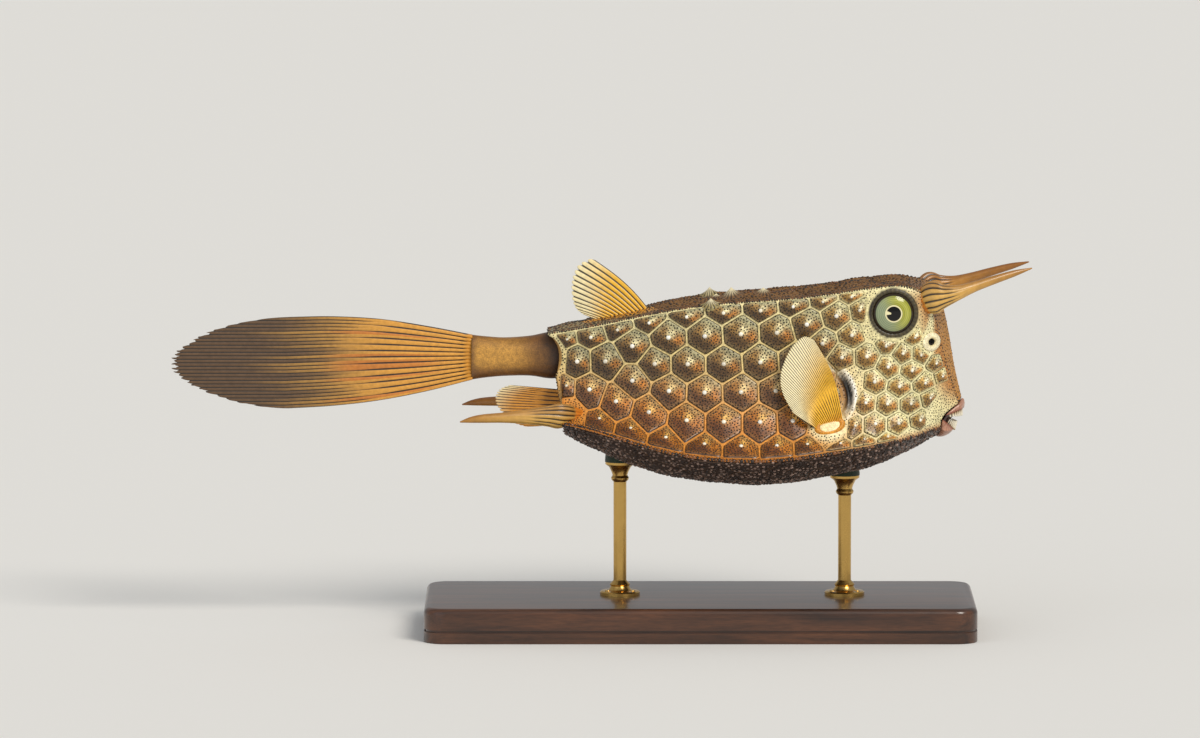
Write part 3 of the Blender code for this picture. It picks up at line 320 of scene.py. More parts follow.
ridgeX = [p[0] for p in shellLines["upperRidge"]]
ridgeZ = [p[2] for p in shellLines["upperRidge"]]
edgeX = [p[0] for p in shellLines["lowerRidge"]]
edgeZ = [p[2] for p in shellLines["lowerRidge"]]


def flankPlace(x, z):
    # how far towards the head, and how far down the flank, each from 0 to 1
    top, low = np.interp(x, ridgeX, ridgeZ), np.interp(x, edgeX, edgeZ)
    return ease(72, 118, x), np.clip((top - z) / np.maximum(top - low, 1.0), 0, 1)


def seamTone(x, z):
    head, down = flankPlace(x, z)
    return painted(tone("#dfc888"), ("#ece2ae", np.maximum(head, ease(0.35, 0.05, down) * 0.6)),
                   ("#d98f38", ease(0.3, 0.85, down) * (1 - head)))


def bareTone(x, z):
    # skin with no plates: round the eye, the nostril, the mouth and the fin
    head, down = flankPlace(x, z)
    toRidge = np.interp(-z, [-p for p in ridgeZ[11:]], ridgeX[11:]) - x
    front = ease(10.5, 0.5, toRidge) * ease(26, 40, z) * ease(81, 74, z)
    return painted(tone("#d9c486"), ("#eadfa8", head),
                   ("#b06a22", np.maximum(ease(0.8, 1.0, down) * (1 - head), ease(0.97, 1.0, down))),
                   ("#b0712c", 0.95 * front))


def backTone(x, w):
    return painted(tone("#8f8262"), ("#7a562c", ease(-6, 30, x)), ("#b27a28", ease(126, 136, x)),
                   ("#cf9238", ease(8, 3, w) * ease(-14, -4, x) * ease(26, 18, x)))


def bellyTone(w):
    return mix(tone("#33241c"), tone("#4a3528"), ease(30, 5, w))


def notchX(z):
    # how far forward the rounded notch round the peduncle reaches at height z
    x, middle, halfX, halfZ = skin["notch"]
    return x + halfX * np.sqrt(np.maximum(0, 1 - ((z - middle) / halfZ) ** 2))


def notched(rings, zone):
    # the flank's first rows drawn forward to the notch, spaced out anew from there
    last = int(np.argmax(rings[:, skin["backSteps"] + 8, 0] > skin["notchFade"]))
    rows = np.arange(last + 1)
    for column in np.flatnonzero(zone == 1):
        line = rings[:last + 1, column].copy()
        reach = notchX(line[0, 2] - lift)
        if reach > line[0, 0]:
            start = np.interp(reach, line[:, 0], rows)
            place = np.linspace(start, last, last + 1)
            for axis in range(3):
                rings[:last + 1, column, axis] = np.interp(place, rows, line[:, axis])
    return rings


def skinSheet():
    # every ring of the shell's skin, its first rows drawn forward to the notch; the rear face, hollow,
    # peduncle and the rim of the mouth turned in are added in buildSkin
    dense = np.linspace(0, 1, 3001)
    guide = halfSections(dense, 2, 4, 2)[:, (0, 2, 4, 5, 8)]
    step = np.linalg.norm(np.diff(guide, axis=0), axis=-1)
    x = guide[1:, 2, 0]
    face = x > skin["faceFrom"]
    aside = step[:, 1:4].max(1) / np.where(x > skin["headFrom"], skin["headStep"], skin["bodyStep"])
    need = np.maximum(aside * np.where(face, skin["faceShare"], 1.0),
                      step.max(1) / np.where(face, skin["faceStep"], skin["looseStep"]))
    count = np.concatenate([[0], np.cumsum(need)])
    rows = int(count[-1]) + 1
    s = np.interp(np.linspace(0, count[-1], rows), count, dense)
    rings = wholeRings(halfSections(s, skin["backSteps"], skin["sideSteps"], skin["bellySteps"]))
    columns = rings.shape[1]
    corners = (skin["backSteps"], skin["backSteps"] + skin["sideSteps"])
    for _ in range(skin["ridgeRound"]):
        softer = 0.5 * rings + 0.25 * (np.roll(rings, 1, 1) + np.roll(rings, -1, 1))
        for corner in corners:
            for middle in (corner, columns - corner):
                near = np.arange(middle - 3, middle + 4) % columns
                rings[1:, near] = softer[1:, near]
    zone = np.zeros(columns, int)                  # 0 back, 1 flank, 2 belly
    zone[corners[0]:columns - corners[0] + 1] = 1
    zone[corners[1]:columns - corners[1] + 1] = 2
    return notched(rings, zone), zone


# Each hollow or swelling on the flank: radius where it starts, radius where it is full, and its depth in mm
dents = {"eye": (8.6, 7.0, 4.5), "brow": (13.0, 9.5, 0.5), "nose": (2.2, 1.2, 2.4), "gill": (1.7, 0.5, 2.2),
         "gillLip": (3.4, 2.2, 0.9), "foot": (7.0, 2.0, 1.3), "footPlace": (90.5, 25.6), "faceSteps": 14,
         "faceEvening": 260, "hollowSteps": 5, "stemSteps": 44}


def dent(name, away):
    start, full, deep = dents[name]
    return deep * ease(start, full, away)


def flankFeatures(x, z):
    # distances in mm from the eye, nostril, gill slit and foot of the fin, and the side and fade of the slit
    path = along(gillLine, np.linspace(0, 1, 60))
    apart = np.hypot(x[..., None] - path[:, 0], z[..., None] - path[:, 1])
    nearest = apart.argmin(-1)
    footX, footZ = dents["footPlace"]
    return {"eye": np.hypot(x - eyePlace[0], z - eyePlace[1]),
            "nose": np.hypot(x - noseHole[0], (z - noseHole[1]) * 0.9),
            "gill": apart.min(-1), "ahead": x > path[nearest, 0],
            "taper": np.sin(np.pi * np.clip(nearest / 59, 0.04, 0.96)) ** 0.6,
            "foot": np.hypot((x - footX) * 0.75, z - footZ)}


def dentSkin(near):
    # hollows under the eye and nostril, the gill slit and the swollen foot of the pectoral fin
    move = -dent("eye", near["eye"]) + dent("brow", near["eye"]) * ease(7.0, 9.0, near["eye"])
    move -= dent("nose", near["nose"]) + dent("gill", near["gill"]) * near["taper"]
    move += dent("gillLip", near["gill"]) * ease(1.2, 2.0, near["gill"]) * near["ahead"] * near["taper"]
    return move + dent("foot", near["foot"])


def skinTints(rings, zone, near):
    x, w, z = rings[..., 0], np.abs(rings[..., 1]), rings[..., 2] - lift
    tints = np.where((zone == 1)[None, :, None], seamTone(x, z), backTone(x, w))
    tints = np.where((zone == 2)[None, :, None], bellyTone(w), tints)
    flank = (zone == 1)[None, :].astype(float)
    tints = mix(tints, bareTone(x, z), flank * np.maximum(ease(15.5, 13.5, near["eye"]), ease(132, 134, x)))
    slit, ahead = flank * near["taper"], near["ahead"]
    return painted(tints, ("#fbf8ec", ease(3.3, 2.7, near["gill"]) * ahead * slit),
                   ("#b5802f", ease(5.4, 3.4, near["gill"]) * ~ahead * slit),
                   ("#5d3a16", ease(3.2, 1.4, near["gill"]) * ~ahead * slit),
                   # painted shade: the gill slit's dent is painted near black, as a deep opening
                   ("#0d0704", ease(1.4, 1.0, near["gill"]) * slit),
                   ("#efe0ac", flank * 0.9 * ease(7.0, 4.5, near["foot"])),
                   ("#20180e", flank * ease(10.4, 9.6, near["eye"])),
                   # painted shade: the nostril's dent is painted dark, as its opening
                   ("#1a1009", flank * ease(2.4, 1.8, near["nose"])),
                   ("#a8621f", flank * 0.75 * ease(1.0, 0.0, (z - np.interp(x, edgeX, edgeZ)) / 3.5)))


def rearRings(edge):
    # from the shell's rear rim: the rear face, the hollow round the peduncle, the peduncle and its end
    run = np.linalg.norm(np.roll(edge, -1, 0) - edge, axis=-1)
    turn = np.pi / 2 - 2 * np.pi * np.concatenate([[0], np.cumsum(run)[:-1]]) / run.sum()
    slope = (edgeX[0] - ridgeX[0]) / (ridgeZ[0] - edgeZ[0])
    rim = peduncleRing(peduncle[0], turn, skin["recessMargin"])
    rimZ = rim[:, 2] - lift
    rim[:, 0] = np.maximum(ridgeX[0] + (ridgeZ[0] - rimZ) * slope, notchX(rimZ))
    face = np.array([lerp(edge, rim, k / dents["faceSteps"]) for k in range(dents["faceSteps"] + 1)])
    for _ in range(dents["faceEvening"]):
        face[1:-1] = 0.25 * (face[:-2] + face[2:] + np.roll(face, 1, 1)[1:-1] + np.roll(face, -1, 1)[1:-1])
    inside = []
    for k in range(1, dents["hollowSteps"] + 1):
        ring = rim.copy()
        ring[:, 0] = lerp(rim[:, 0], skin["recessX"], k / dents["hollowSteps"])
        inside.append(ring)
    inside.append(peduncleRing((skin["recessX"] - 0.05, *peduncle[0][1:]), turn, 0.3))
    last = dents["stemSteps"]
    tail = [peduncleRing(along(peduncle, k / last), turn) for k in range(last)]
    tail.append(peduncleRing(peduncle[-1], turn, -0.15))
    endCap = [lerp(tail[-1], tail[-1].mean(0), share) - (0.25 * math.sin(share * 1.5), 0, 0)
              for share in (0.12, 0.4, 0.75, 0.98)]
    return np.array([*face[1:], *inside, *tail, *endCap])


def rearTints(rear):
    x, row = rear[..., 0], np.arange(len(rear))[:, None]
    stem = row >= dents["faceSteps"] + dents["hollowSteps"] + 1
    high = (rear[..., 2] - lift - 50) / 9
    stemTint = painted(plain("#bd8a3a", rear.shape), ("#85591f", ease(0.2, 0.9, np.abs(high - 0.1))),
                       # painted shade: darker towards the peduncle's front end, by the shell's rear edge
                       ("#6b4217", 0.8 * ease(-0.3, -0.9, high)), ("#5b3613", ease(-36.0, -24.0, x) * 0.8),
                       ("#3a210c", ease(-26.0, -17.0, x)), ("#6a451c", 0.7 * ease(-48.5, -51.0, x)))
    faceTint = painted(plain("#8a6434", rear.shape),
                       ("#c79a55", ease(0.9, 0.0, row / dents["faceSteps"]) * 0.7))
    tints = np.where(stem[..., None], stemTint, faceTint)
    # painted shade: the hollow round the peduncle's root is painted near black
    hollow = (row >= dents["faceSteps"]) & ~stem
    return np.where(hollow[..., None], tone("#2a180b"), tints)


def buildSkin():
    rings, zone = skinSheet()
    near = flankFeatures(rings[..., 0], rings[..., 2] - lift)
    move = dentSkin(near) * (zone == 1)[None, :]
    dented = rings + gridNormals(rings) * move[..., None]
    rear = rearRings(rings[0])
    mouth = dented[-1]
    inner = np.array([lerp(mouth, mouth.mean(0), inward) - (deep, 0, 0) for inward, deep in
                      ((0.05, 0.4), (0.14, 2.0), (0.3, 4.5), (0.6, 6.0), (0.98, 6.5))])
    grid = np.concatenate([rear[::-1], dented, inner])
    tints = np.concatenate([rearTints(rear)[::-1], skinTints(rings, zone, near),
                            plain("#3a1c14", inner.shape)])
    piece = closedMesh("skin", grid.reshape(-1, 3), tubeFaces(*grid.shape[:2]), tints.reshape(-1, 3))
    print("skin:", len(piece.data.polygons), "faces")
    return piece, rings


skinFinish = paintedFinish("varnishedCastSkin", roughness=0.48, coat=0.15, mottle=0.2, mottleSize=1.8,
                           grain=0.55, speckle=0.16)
skinPiece, shellRings = buildSkin()
settle(skinPiece, skinFinish, "head_skin", "carapace", "head", "tail_peduncle")

# The smooth shell without hollows, asked for points along straight lines
shellTree = BVHTree.FromPolygons((shellRings.reshape(-1, 3)).tolist(),
                                 gridFaces(len(shellRings), shellRings.shape[1], True))


def castFlank(x, z):
    # right flank, at x and height above the belly
    return shellTree.ray_cast(Vector((x, -100, z + lift)), Vector((0, 1, 0)))[:2]


def castBack(x, y):
    return shellTree.ray_cast(Vector((x, y, 200)), Vector((0, 0, -1)))[:2]


def castBelly(x, y):
    return shellTree.ray_cast(Vector((x, y, 0)), Vector((0, 0, 1)))[:2]


def outward(direction, normal):
    return normal if normal.dot(direction) < 0 else -normal


# Six-sided plates of the shell, cut by the same rule as in the solids
plates = {"width": ((-20, 11), (10, 12.6), (35, 14.2), (62, 14.4), (85, 11.6), (105, 9.6), (122, 8.4),
                    (140, 7)),
          "margin": 4.5, "passes": 40, "least": 22.0, "seam": 0.3, "around": 48, "rounding": 34,
          "back": (0.39, 14.5, 124.0), "belly": (0.2, 16.5, 121.0), "sunk": 0.5, "shades": (0.86, 1.12),
          "flankHeights": (0.55, 1.5), "backHeights": (0.35, 0.8), "bellyHeights": (0.35, 0.7),
          "rings": (1.03, 1.0, 0.988, 0.97, 0.945, 0.91, 0.85, 0.77, 0.68, 0.59, 0.5, 0.41, 0.32, 0.23, 0.12)}
barePlaces = ((eyePlace, 10.6), ((130.5, 74.0), 9.6), (noseHole, 4.2), ((142.0, 26.0), 12.0),
              ((90.5, 26.5), 7.6), ((97.6, 43.0), 3.2), ((99.2, 37.5), 3.2), ((98.0, 31.5), 3.2),
              ((-12.0, 29.5), 5.6), ((-24.0, 50.6), 10.4))
rodPlaces = (8.0, 98.0)


def ridgeAt(line, x):
    xs = [p[0] for p in line]
    return float(np.interp(x, xs, [p[1] for p in line])), float(np.interp(x, xs, [p[2] for p in line]))


def clip(polygon, point, normal):
    # the part of a convex outline behind the line
    out = []
    for a, b in zip(polygon, polygon[1:] + polygon[:1]):
        da, db = (a - point).dot(normal), (b - point).dot(normal)
        if da <= 0:
            out.append(a)
        if (da < 0 < db) or (db < 0 < da):
            out.append(a.lerp(b, da / (da - db)))
    return out


def centroid(polygon):
    area, total = 0.0, Vector((0.0, 0.0))
    for a, b in zip(polygon, polygon[1:] + polygon[:1]):
        cross = a.x * b.y - b.x * a.y
        area += cross
        total += (a + b) * cross
    return total / (3 * area), area / 2


def cells(seeds, box):
    lowX, lowY, highX, highY = box
    outline = [Vector((lowX, lowY)), Vector((highX, lowY)), Vector((highX, highY)), Vector((lowX, highY))]
    result = []
    for seed in seeds:
        polygon = list(outline)
        for other in sorted(seeds, key=lambda other: (other - seed).length_squared)[1:15]:
            polygon = clip(polygon, (seed + other) / 2, other - seed)
        result.append(polygon)
    return result


def rearEdgeX(z):
    return float(np.interp(z, (edgeZ[0], ridgeZ[0]), (edgeX[0], ridgeX[0])))


def clearOfBare(cell):
    # outline cut back from the bare skin round the eye, horn, nostril, mouth, fins and spine
    for place, size in barePlaces:
        away = centroid(cell)[0] - Vector(place)
        if away.length < size:
            return []
        cell = clip(cell, Vector(place) + away.normalized() * size, -away)
        if len(cell) < 3 or centroid(cell)[1] < plates["least"] / 2:
            return []
    return cell


def sideSeeds():
    # middles of one flank's plates in the side view, evened out to the widths asked for
    draw = random.Random(7)
    xs, widths = zip(*plates["width"])
    seeds = []
    x, column = -26.0, 0
    while x < 150.0:
        width = float(np.interp(x, xs, widths))
        top = ridgeAt(shellLines["upperRidge"], x)[1] + 4.0
        low = ridgeAt(shellLines["lowerRidge"], x)[1] - 4.0
        count = max(2, round((top - low) / (width * 1.73)))
        for k in range(count):
            share = (k + (0.25 if column % 2 else 0.75)) / count
            seeds.append((x + draw.uniform(-1, 1) * width * 0.05,
                          lerp(low, top, share) + draw.uniform(-1, 1) * width * 0.05))
        x += width * 0.5
        column += 1
    seeds = np.array(seeds)
    gx, gz = np.meshgrid(np.arange(-30, 152, 1.3), np.arange(4, 90, 1.3), indexing="ij")
    inside = (gz < np.interp(gx, ridgeX, ridgeZ) + plates["margin"]) & (gz > np.interp(gx, edgeX, edgeZ)
                                                                       - plates["margin"])
    spots = np.stack([gx, gz], -1)[inside]
    weight = np.interp(spots[:, 0], xs, widths) ** -4.0
    for _ in range(plates["passes"]):
        nearest = ((spots[:, None] - seeds[None]) ** 2).sum(-1).argmin(1)
        total = np.maximum(np.bincount(nearest, weight, len(seeds)), 1e-12)
        seeds = np.stack([np.bincount(nearest, weight * spots[:, axis], len(seeds)) / total
                          for axis in (0, 1)], 1)
    return [Vector(seed) for seed in seeds]


def sideCells():
    seeds = sideSeeds()
    found = []
    for seed, cell in zip(seeds, cells(seeds, (-34.0, 3.0, 160.0, 94.0))):
        for line, sign, margin in ((shellLines["upperRidge"], 1, 0.9), (shellLines["lowerRidge"], -1, 0.7)):
            a = Vector((seed.x - 4, ridgeAt(line, seed.x - 4)[1]))
            b = Vector((seed.x + 4, ridgeAt(line, seed.x + 4)[1]))
            across = Vector((a.y - b.y, b.x - a.x)).normalized() * sign
            cell = clip(cell, a - across * margin, across)
        if len(cell) > 2:
            cell = clip(cell, Vector((rearEdgeX(seed.y) + 1.0, 0)), Vector((-1, 0)))
        if len(cell) > 2:
            cell = clearOfBare(cell)
        if len(cell) > 2 and centroid(cell)[1] > plates["least"]:
            found.append(cell)
    return found


def flatCells(line, halfPlate, spacing, end, bare):
    seeds, column = [], 0
    x = line[0][0] - spacing / 2
    while x < end + 2 * spacing:
        width = max(ridgeAt(line, x)[0], 8.0)
        seeds += [Vector((x, width * halfPlate * k)) for k in range(-9, 10) if (k + column) % 2 == 0]
        x += spacing
        column += 1
    found = []
    for seed, cell in zip(seeds, cells(seeds, (-50.0, -80.0, 180.0, 80.0))):
        for sign in (-1, 1):
            a = Vector((seed.x - 5, sign * (ridgeAt(line, seed.x - 5)[0] - 1.2)))
            b = Vector((seed.x + 5, sign * (ridgeAt(line, seed.x + 5)[0] - 1.2)))
            cell = clip(cell, a, Vector((a.y - b.y, b.x - a.x)).normalized() * sign)
        cell = clip(cell, Vector((line[0][0] + 3, 0)), Vector((-1, 0)))
        cell = clip(cell, Vector((end, 0)), Vector((1, 0)))
        if len(cell) < 3 or centroid(cell)[1] < 40:
            continue
        middle = centroid(cell)[0]
        if all(abs(middle.x - x) > dx or abs(abs(middle.y) - y) > dy for x, y, dx, dy in bare):
            found.append(cell)
    return found


def inset(polygon, amount):
    middle = centroid(polygon)[0]
    result = list(polygon)
    for a, b in zip(polygon, polygon[1:] + polygon[:1]):
        side = b - a
        if side.length < 1e-6:
            continue
        across = Vector((side.y, -side.x)).normalized()
        if (middle - a).dot(across) > 0:
            across = -across
        result = clip(result, a - across * amount, across)
    return result


def plateReach(outline, turn):
    # distance from the plate's middle to its rounded outline, in each direction
    middle = centroid(outline)[0]
    total = np.zeros(len(turn))
    for a, b in zip(outline, outline[1:] + outline[:1]):
        side = b - a
        if side.length < 1e-5:
            continue
        across = Vector((side.y, -side.x)).normalized()
        away = (a - middle).dot(across)
        if away < 0:
            across, away = -across, -away
        facing = np.cos(turn) * across.x + np.sin(turn) * across.y
        total += np.maximum(0, facing / max(away, 0.3)) ** plates["rounding"]
    return middle, total ** (-1 / plates["rounding"])


def flankPlateTint(x, z, q, turn, shade):
    # painted shade: dark below and behind; olive at the upper edge; painted highlight: pale above and ahead
    # of the middle; ochre ahead
    head, down = flankPlace(x, z)
    warm = ease(0.3, 0.9, down) * (1 - head)
    # tones for painted shade, middle, olive and painted highlight; each for the body, the head and the lower
    # flank
    bodyFrontBelow = (("#4b3312", "#805e24", "#63350f"), ("#8f6a2e", "#b0883c", "#a8641c"),
                      ("#a39c74", "#d6cd96", "#ab7f42"), ("#f3e8b4", "#f8f2cc", "#f0bc60"))
    dark, middle, olive, light = (painted(tone(body), (front, head), (below, warm))
                                  for body, front, below in bodyFrontBelow)
    px, pz = q * np.cos(turn), q * np.sin(turn)
    lower = -(0.5 * px + 0.87 * pz)
    rim = ease(0.6, 0.92, q)
    colour = mix(middle, olive, np.maximum(ease(-0.25, -0.8, lower), (0.5 + 0.4 * head) * rim))
    colour = painted(colour, ("#b9701f", 0.8 * np.exp(-((px - 0.55) ** 2 + (pz + 0.18) ** 2) / 0.1)))
    # painted shade over the lower part, behind the middle, less of it at the rim
    colour = mix(colour, dark, (0.95 - (0.3 + 0.45 * head) * rim) * ease(-0.15, 0.4, lower))
    # painted highlight: a pale patch above and ahead of the middle
    colour = mix(colour, light, 0.95 * np.exp(-((px - 0.16) ** 2 + (pz - 0.24) ** 2) / 0.06))
    colour = painted(colour * shade, ("#1a1005", 0.9 * ease(0.93, 0.965, q) * ease(1.0, 0.985, q)))
    return mix(colour, seamTone(x, z), ease(0.985, 1.0, q))


def backPlateTint(x, z, q, turn, shade):
    return painted(backTone(x, np.abs(z)) * shade, ("#a9763c", 0.5 * ease(0.4, 0.0, q)),
                   ("#4a2c14", 0.6 * ease(0.93, 0.98, q)))


def bellyPlateTint(x, z, q, turn, shade):
    return painted(bellyTone(np.abs(z)) * shade, ("#6d5443", 0.35 * ease(0.5, 0.0, q)),
                   ("#7a5b40", 0.6 * ease(0.94, 1.0, q)))


def domeRows(middle, reach, turn, cast, direction, rim, peak):
    # rings of points on the shell, from the plate's sunk edge to near its peak
    rows = []
    for q in plates["rings"]:
        height = rim * float(ease(1.01, 0.93, q)) + (peak - rim) * (1 - min(q / 0.94, 1.0)) ** 0.9
        height = -plates["sunk"] if q > 1.01 else height
        row = []
        for angle, far in zip(turn, reach):
            spot, normal = cast(middle.x + q * far * math.cos(angle), middle.y + q * far * math.sin(angle))
            row.append(None if spot is None else spot + outward(direction, normal) * height)
        rows.append(row)
    return rows


def plateField(name, outlines, cast, direction, rim, peak, paint, seed):
    # one closed dome on the shell for each outline
    draw = random.Random(seed)
    around = plates["around"]
    turn = np.linspace(0, 2 * np.pi, around, endpoint=False)
    q = np.repeat(plates["rings"], around)
    angles = np.tile(turn, len(plates["rings"]))
    points, faces, tints, domes = [], [], [], []
    for outline in outlines:
        small = inset(outline, plates["seam"])
        if len(small) < 3:
            continue
        middle, reach = plateReach(small, turn)
        shade = draw.uniform(*plates["shades"])
        rows = domeRows(middle, reach, turn, cast, direction, rim, peak)
        if any(point is None for row in rows for point in row):
            continue
        spot, normal = cast(middle.x, middle.y)
        normal = outward(direction, normal)
        start = len(points)
        last = start + len(rows) * around
        points += [point for row in rows for point in row]
        points += [spot + normal * peak, spot - normal * plates["sunk"]]
        faces += gridFaces(len(rows), around, True, start)
        faces += [(last - around + j, last - around + (j + 1) % around, last) for j in range(around)]
        faces += [(start + (j + 1) % around, start + j, last + 1) for j in range(around)]
        for share, angle in ((q, angles), (np.zeros(2), np.zeros(2))):
            x, z = np.full((2, len(share)), ((middle.x,), (middle.y,)))
            tints.append(paint(x, z, share, angle, shade))
        domes.append((middle, reach, spot + normal * peak, normal))
    return closedMesh(name, [tuple(p) for p in points], faces, np.concatenate(tints)), domes


plateFinish = paintedFinish("varnishedShellPlate", roughness=0.42, coat=0.25, mottle=0.3, mottleSize=1.5,
                            grain=0.45, speckle=0.34, speckleSize=0.5)
backFinish = paintedFinish("mattShellPlate", roughness=0.62, coat=0.0, mottle=0.25, mottleSize=1.3,
                           grain=0.45, speckle=0.25)
flankPiece, flankDomes = plateField("plates_right", sideCells(), castFlank, Vector((0, 1, 0)),
                                    *plates["flankHeights"], flankPlateTint, 3)
settlePair(flankPiece, plateFinish, "shell_plates")
dorsalRoot = (7.0, 0.0, 17.0, 10.0)
hornRoot = (126.0, 17.0, 9.0, 9.0)
rodPads = [(x, 0.0, 13.0, 11.0) for x in rodPlaces]
spineRoot = (-12.0, 24.0, 7.0, 9.0)
backOutlines = flatCells(shellLines["upperRidge"], *plates["back"], (dorsalRoot, hornRoot))
bellyOutlines = flatCells(shellLines["lowerRidge"], *plates["belly"], (*rodPads, spineRoot))
backPiece, backDomes = plateField("plates_back", backOutlines, castBack, Vector((0, 0, -1)),
                                  *plates["backHeights"], backPlateTint, 4)
settle(backPiece, backFinish, "shell_plates")
bellyPiece, bellyDomes = plateField("plates_belly", bellyOutlines, castBelly, Vector((0, 0, 1)),
                                    *plates["bellyHeights"], bellyPlateTint, 5)
settle(bellyPiece, backFinish, "shell_plates")
print("plates:", len(flankDomes), len(backDomes), len(bellyDomes))

# Fins: roots and edges as (x, height), or (x, half width, height) for the pectoral fins, in mm
fins = {"tailRoot": -51.0, "tailWide": -126.0, "tailTip": -172.0, "tailHalf": (9.0, 13.2, 16.4, 18.0, 18.4),
        "tailMid": (49.8, 49.2, 48.8, 48.2, 47.5),
        "dorsalRoot": ((20.6, 67.6), (11.0, 65.6), (1.8, 63.6)),
        "dorsalEdge": ((-3.2, 89.6), (-8.4, 87.0), (-10.7, 82.5), (-11.4, 78.0), (-11.0, 73.0),
                       (-9.6, 69.4), (-6.6, 66.9)),
        "analRoot": ((-10.5, 24.0), (-11.5, 30.0), (-12.5, 36.5)),
        "analEdge": ((-29.6, 21.8), (-34.5, 23.4), (-38.5, 26.6), (-41.2, 30.4), (-41.8, 34.0),
                     (-40.0, 37.0), (-36.0, 38.6)),
        "pectoralRoot": ((96.0, 29.6, 28.6), (91.0, 30.6, 26.0), (85.8, 31.6, 24.2)),
        "pectoralEdge": ((84.8, 29.4, 59.8), (80.8, 29.6, 61.0), (76.6, 30.2, 57.6), (73.4, 31.2, 52.0),
                         (71.6, 32.8, 45.8), (72.4, 34.6, 39.0), (76.6, 36.4, 31.2))}

# thick: at root and tip; ridge: height of a ray; scallop, ragged: depth and unevenness of the notches
finForms = {
    "tail": {"rays": 13, "forks": (0.3,), "thick": (4.0, 0.5), "ridge": 0.4, "scallop": 0.012,
             "ragged": 0.018, "start": 0.0, "grid": (390, 120)},
    "dorsal": {"rays": 13, "forks": (), "thick": (2.4, 0.5), "ridge": 0.4, "scallop": 0.04, "ragged": 0.0,
               "start": -0.08, "grid": (180, 60)},
    "anal": {"rays": 9, "forks": (0.3,), "thick": (2.2, 0.5), "ridge": 0.35, "scallop": 0.05, "ragged": 0.0,
             "start": -0.08, "grid": (180, 50)},
    "pectoral": {"rays": 18, "forks": (0.22,), "thick": (2.8, 0.5), "ridge": 0.3, "scallop": 0.02,
                 "ragged": 0.0, "start": -0.05, "grid": (380, 70)}}


def tailPoint(u, v):
    h = 1 - 2 * u
    end = fins["tailWide"] + (fins["tailTip"] - fins["tailWide"]) * np.maximum(0, 1 - np.abs(h) ** 1.8) ** 0.6
    x = lerp(fins["tailRoot"], end, v)
    t = np.clip((x - fins["tailRoot"]) / (fins["tailWide"] - fins["tailRoot"]), 0, 1)
    middle = np.interp(t, (0, 0.25, 0.5, 0.75, 1), fins["tailMid"])
    half = along(fins["tailHalf"], t)[..., 0]
    return np.stack([x, np.zeros_like(x), lift + middle + h * half], -1)


def flatFin(root, edge, bow):
    def point(u, v):
        place = lerp(along(root, u), along(edge, u), v[..., None])
        push = bow * np.sin(np.pi * v) * (1 - u)
        return np.stack([place[..., 0] + push, np.zeros_like(push), place[..., 1] + push * 0.5 + lift], -1)
    return point


def pectoralPoint(u, v):
    place = lerp(along(fins["pectoralRoot"], u), along(fins["pectoralEdge"], u), v[..., None])
    bow = np.sin(np.pi * v)
    return np.stack([place[..., 0] + 2.2 * bow * (1 - u), -place[..., 1] - 2.0 * bow,
                     place[..., 2] + 1.0 * bow * (1 - u) + lift], -1)


def rayRelief(u, v, count, forks):
    # 1 on the crest of a ray, 0 on the membrane; each ray forks where v passes a fork's place
    local = (u * count) % 1 - 0.5
    width = 0.5
    for place in forks:
        spread = ease(place, place + 0.22, v)
        width = width * lerp(1.0, 0.5, spread)
        centre = np.where(local > 0, 1, -1) * width * spread
        local = local - centre * (spread > 0)
    return np.clip(1 - (np.abs(local) / np.maximum(width, 1e-6)) ** 2.2, 0, 1)


def finSheet(name, point, form, paint):
    # fin with raised rays on both faces, closed round its edge: u runs over the rays, v from root to tip
    columns, rows = form["grid"]
    u, v = np.meshgrid(np.linspace(0, 1, columns), np.linspace(form["start"], 1, rows), indexing="ij")
    out = np.clip(v, 0, 1)
    rays = form["rays"]
    relief = rayRelief(u, out, rays, form["forks"])
    uneven = np.random.default_rng(5).random(rays * 4 + 1)[(u * rays * 4).astype(int)]
    reach = v * (1 - (form["scallop"] * (1 - relief) + form["ragged"] * uneven) * ease(0.6, 1.0, v))
    here = point(u, reach)
    du = point(np.minimum(u + 0.004, 1), reach) - point(np.maximum(u - 0.004, 0), reach)
    dv = point(u, np.minimum(reach + 0.01, 1)) - point(u, reach - 0.01)
    normal = np.cross(du, dv)
    normal /= np.maximum(np.linalg.norm(normal, axis=-1, keepdims=True), 1e-9)
    edge = np.minimum(ease(0, 0.012, u), ease(1, 0.988, u))
    half = lerp(*form["thick"], out ** 0.7) / 2 * lerp(0.35, 1.0, edge)
    half = half + form["ridge"] * relief * (1 - 0.6 * out) * edge
    sides = np.concatenate([(here + normal * half[..., None]).reshape(-1, 3),
                            (here - normal * half[..., None]).reshape(-1, 3)])
    colour = paint(u, v, relief).reshape(-1, 3)
    total = columns * rows
    faces = gridFaces(columns, rows, False)
    faces += [(a + total, d + total, c + total, b + total) for a, b, c, d in faces]
    rim = [i * rows for i in range(columns)] + [(columns - 1) * rows + j for j in range(1, rows)]
    rim += [i * rows + rows - 1 for i in range(columns - 2, -1, -1)] + [j for j in range(rows - 2, 0, -1)]
    faces += [(a, b, b + total, a + total) for a, b in zip(rim, rim[1:] + rim[:1])]
    return closedMesh(name, sides, faces, np.concatenate([colour, colour]))


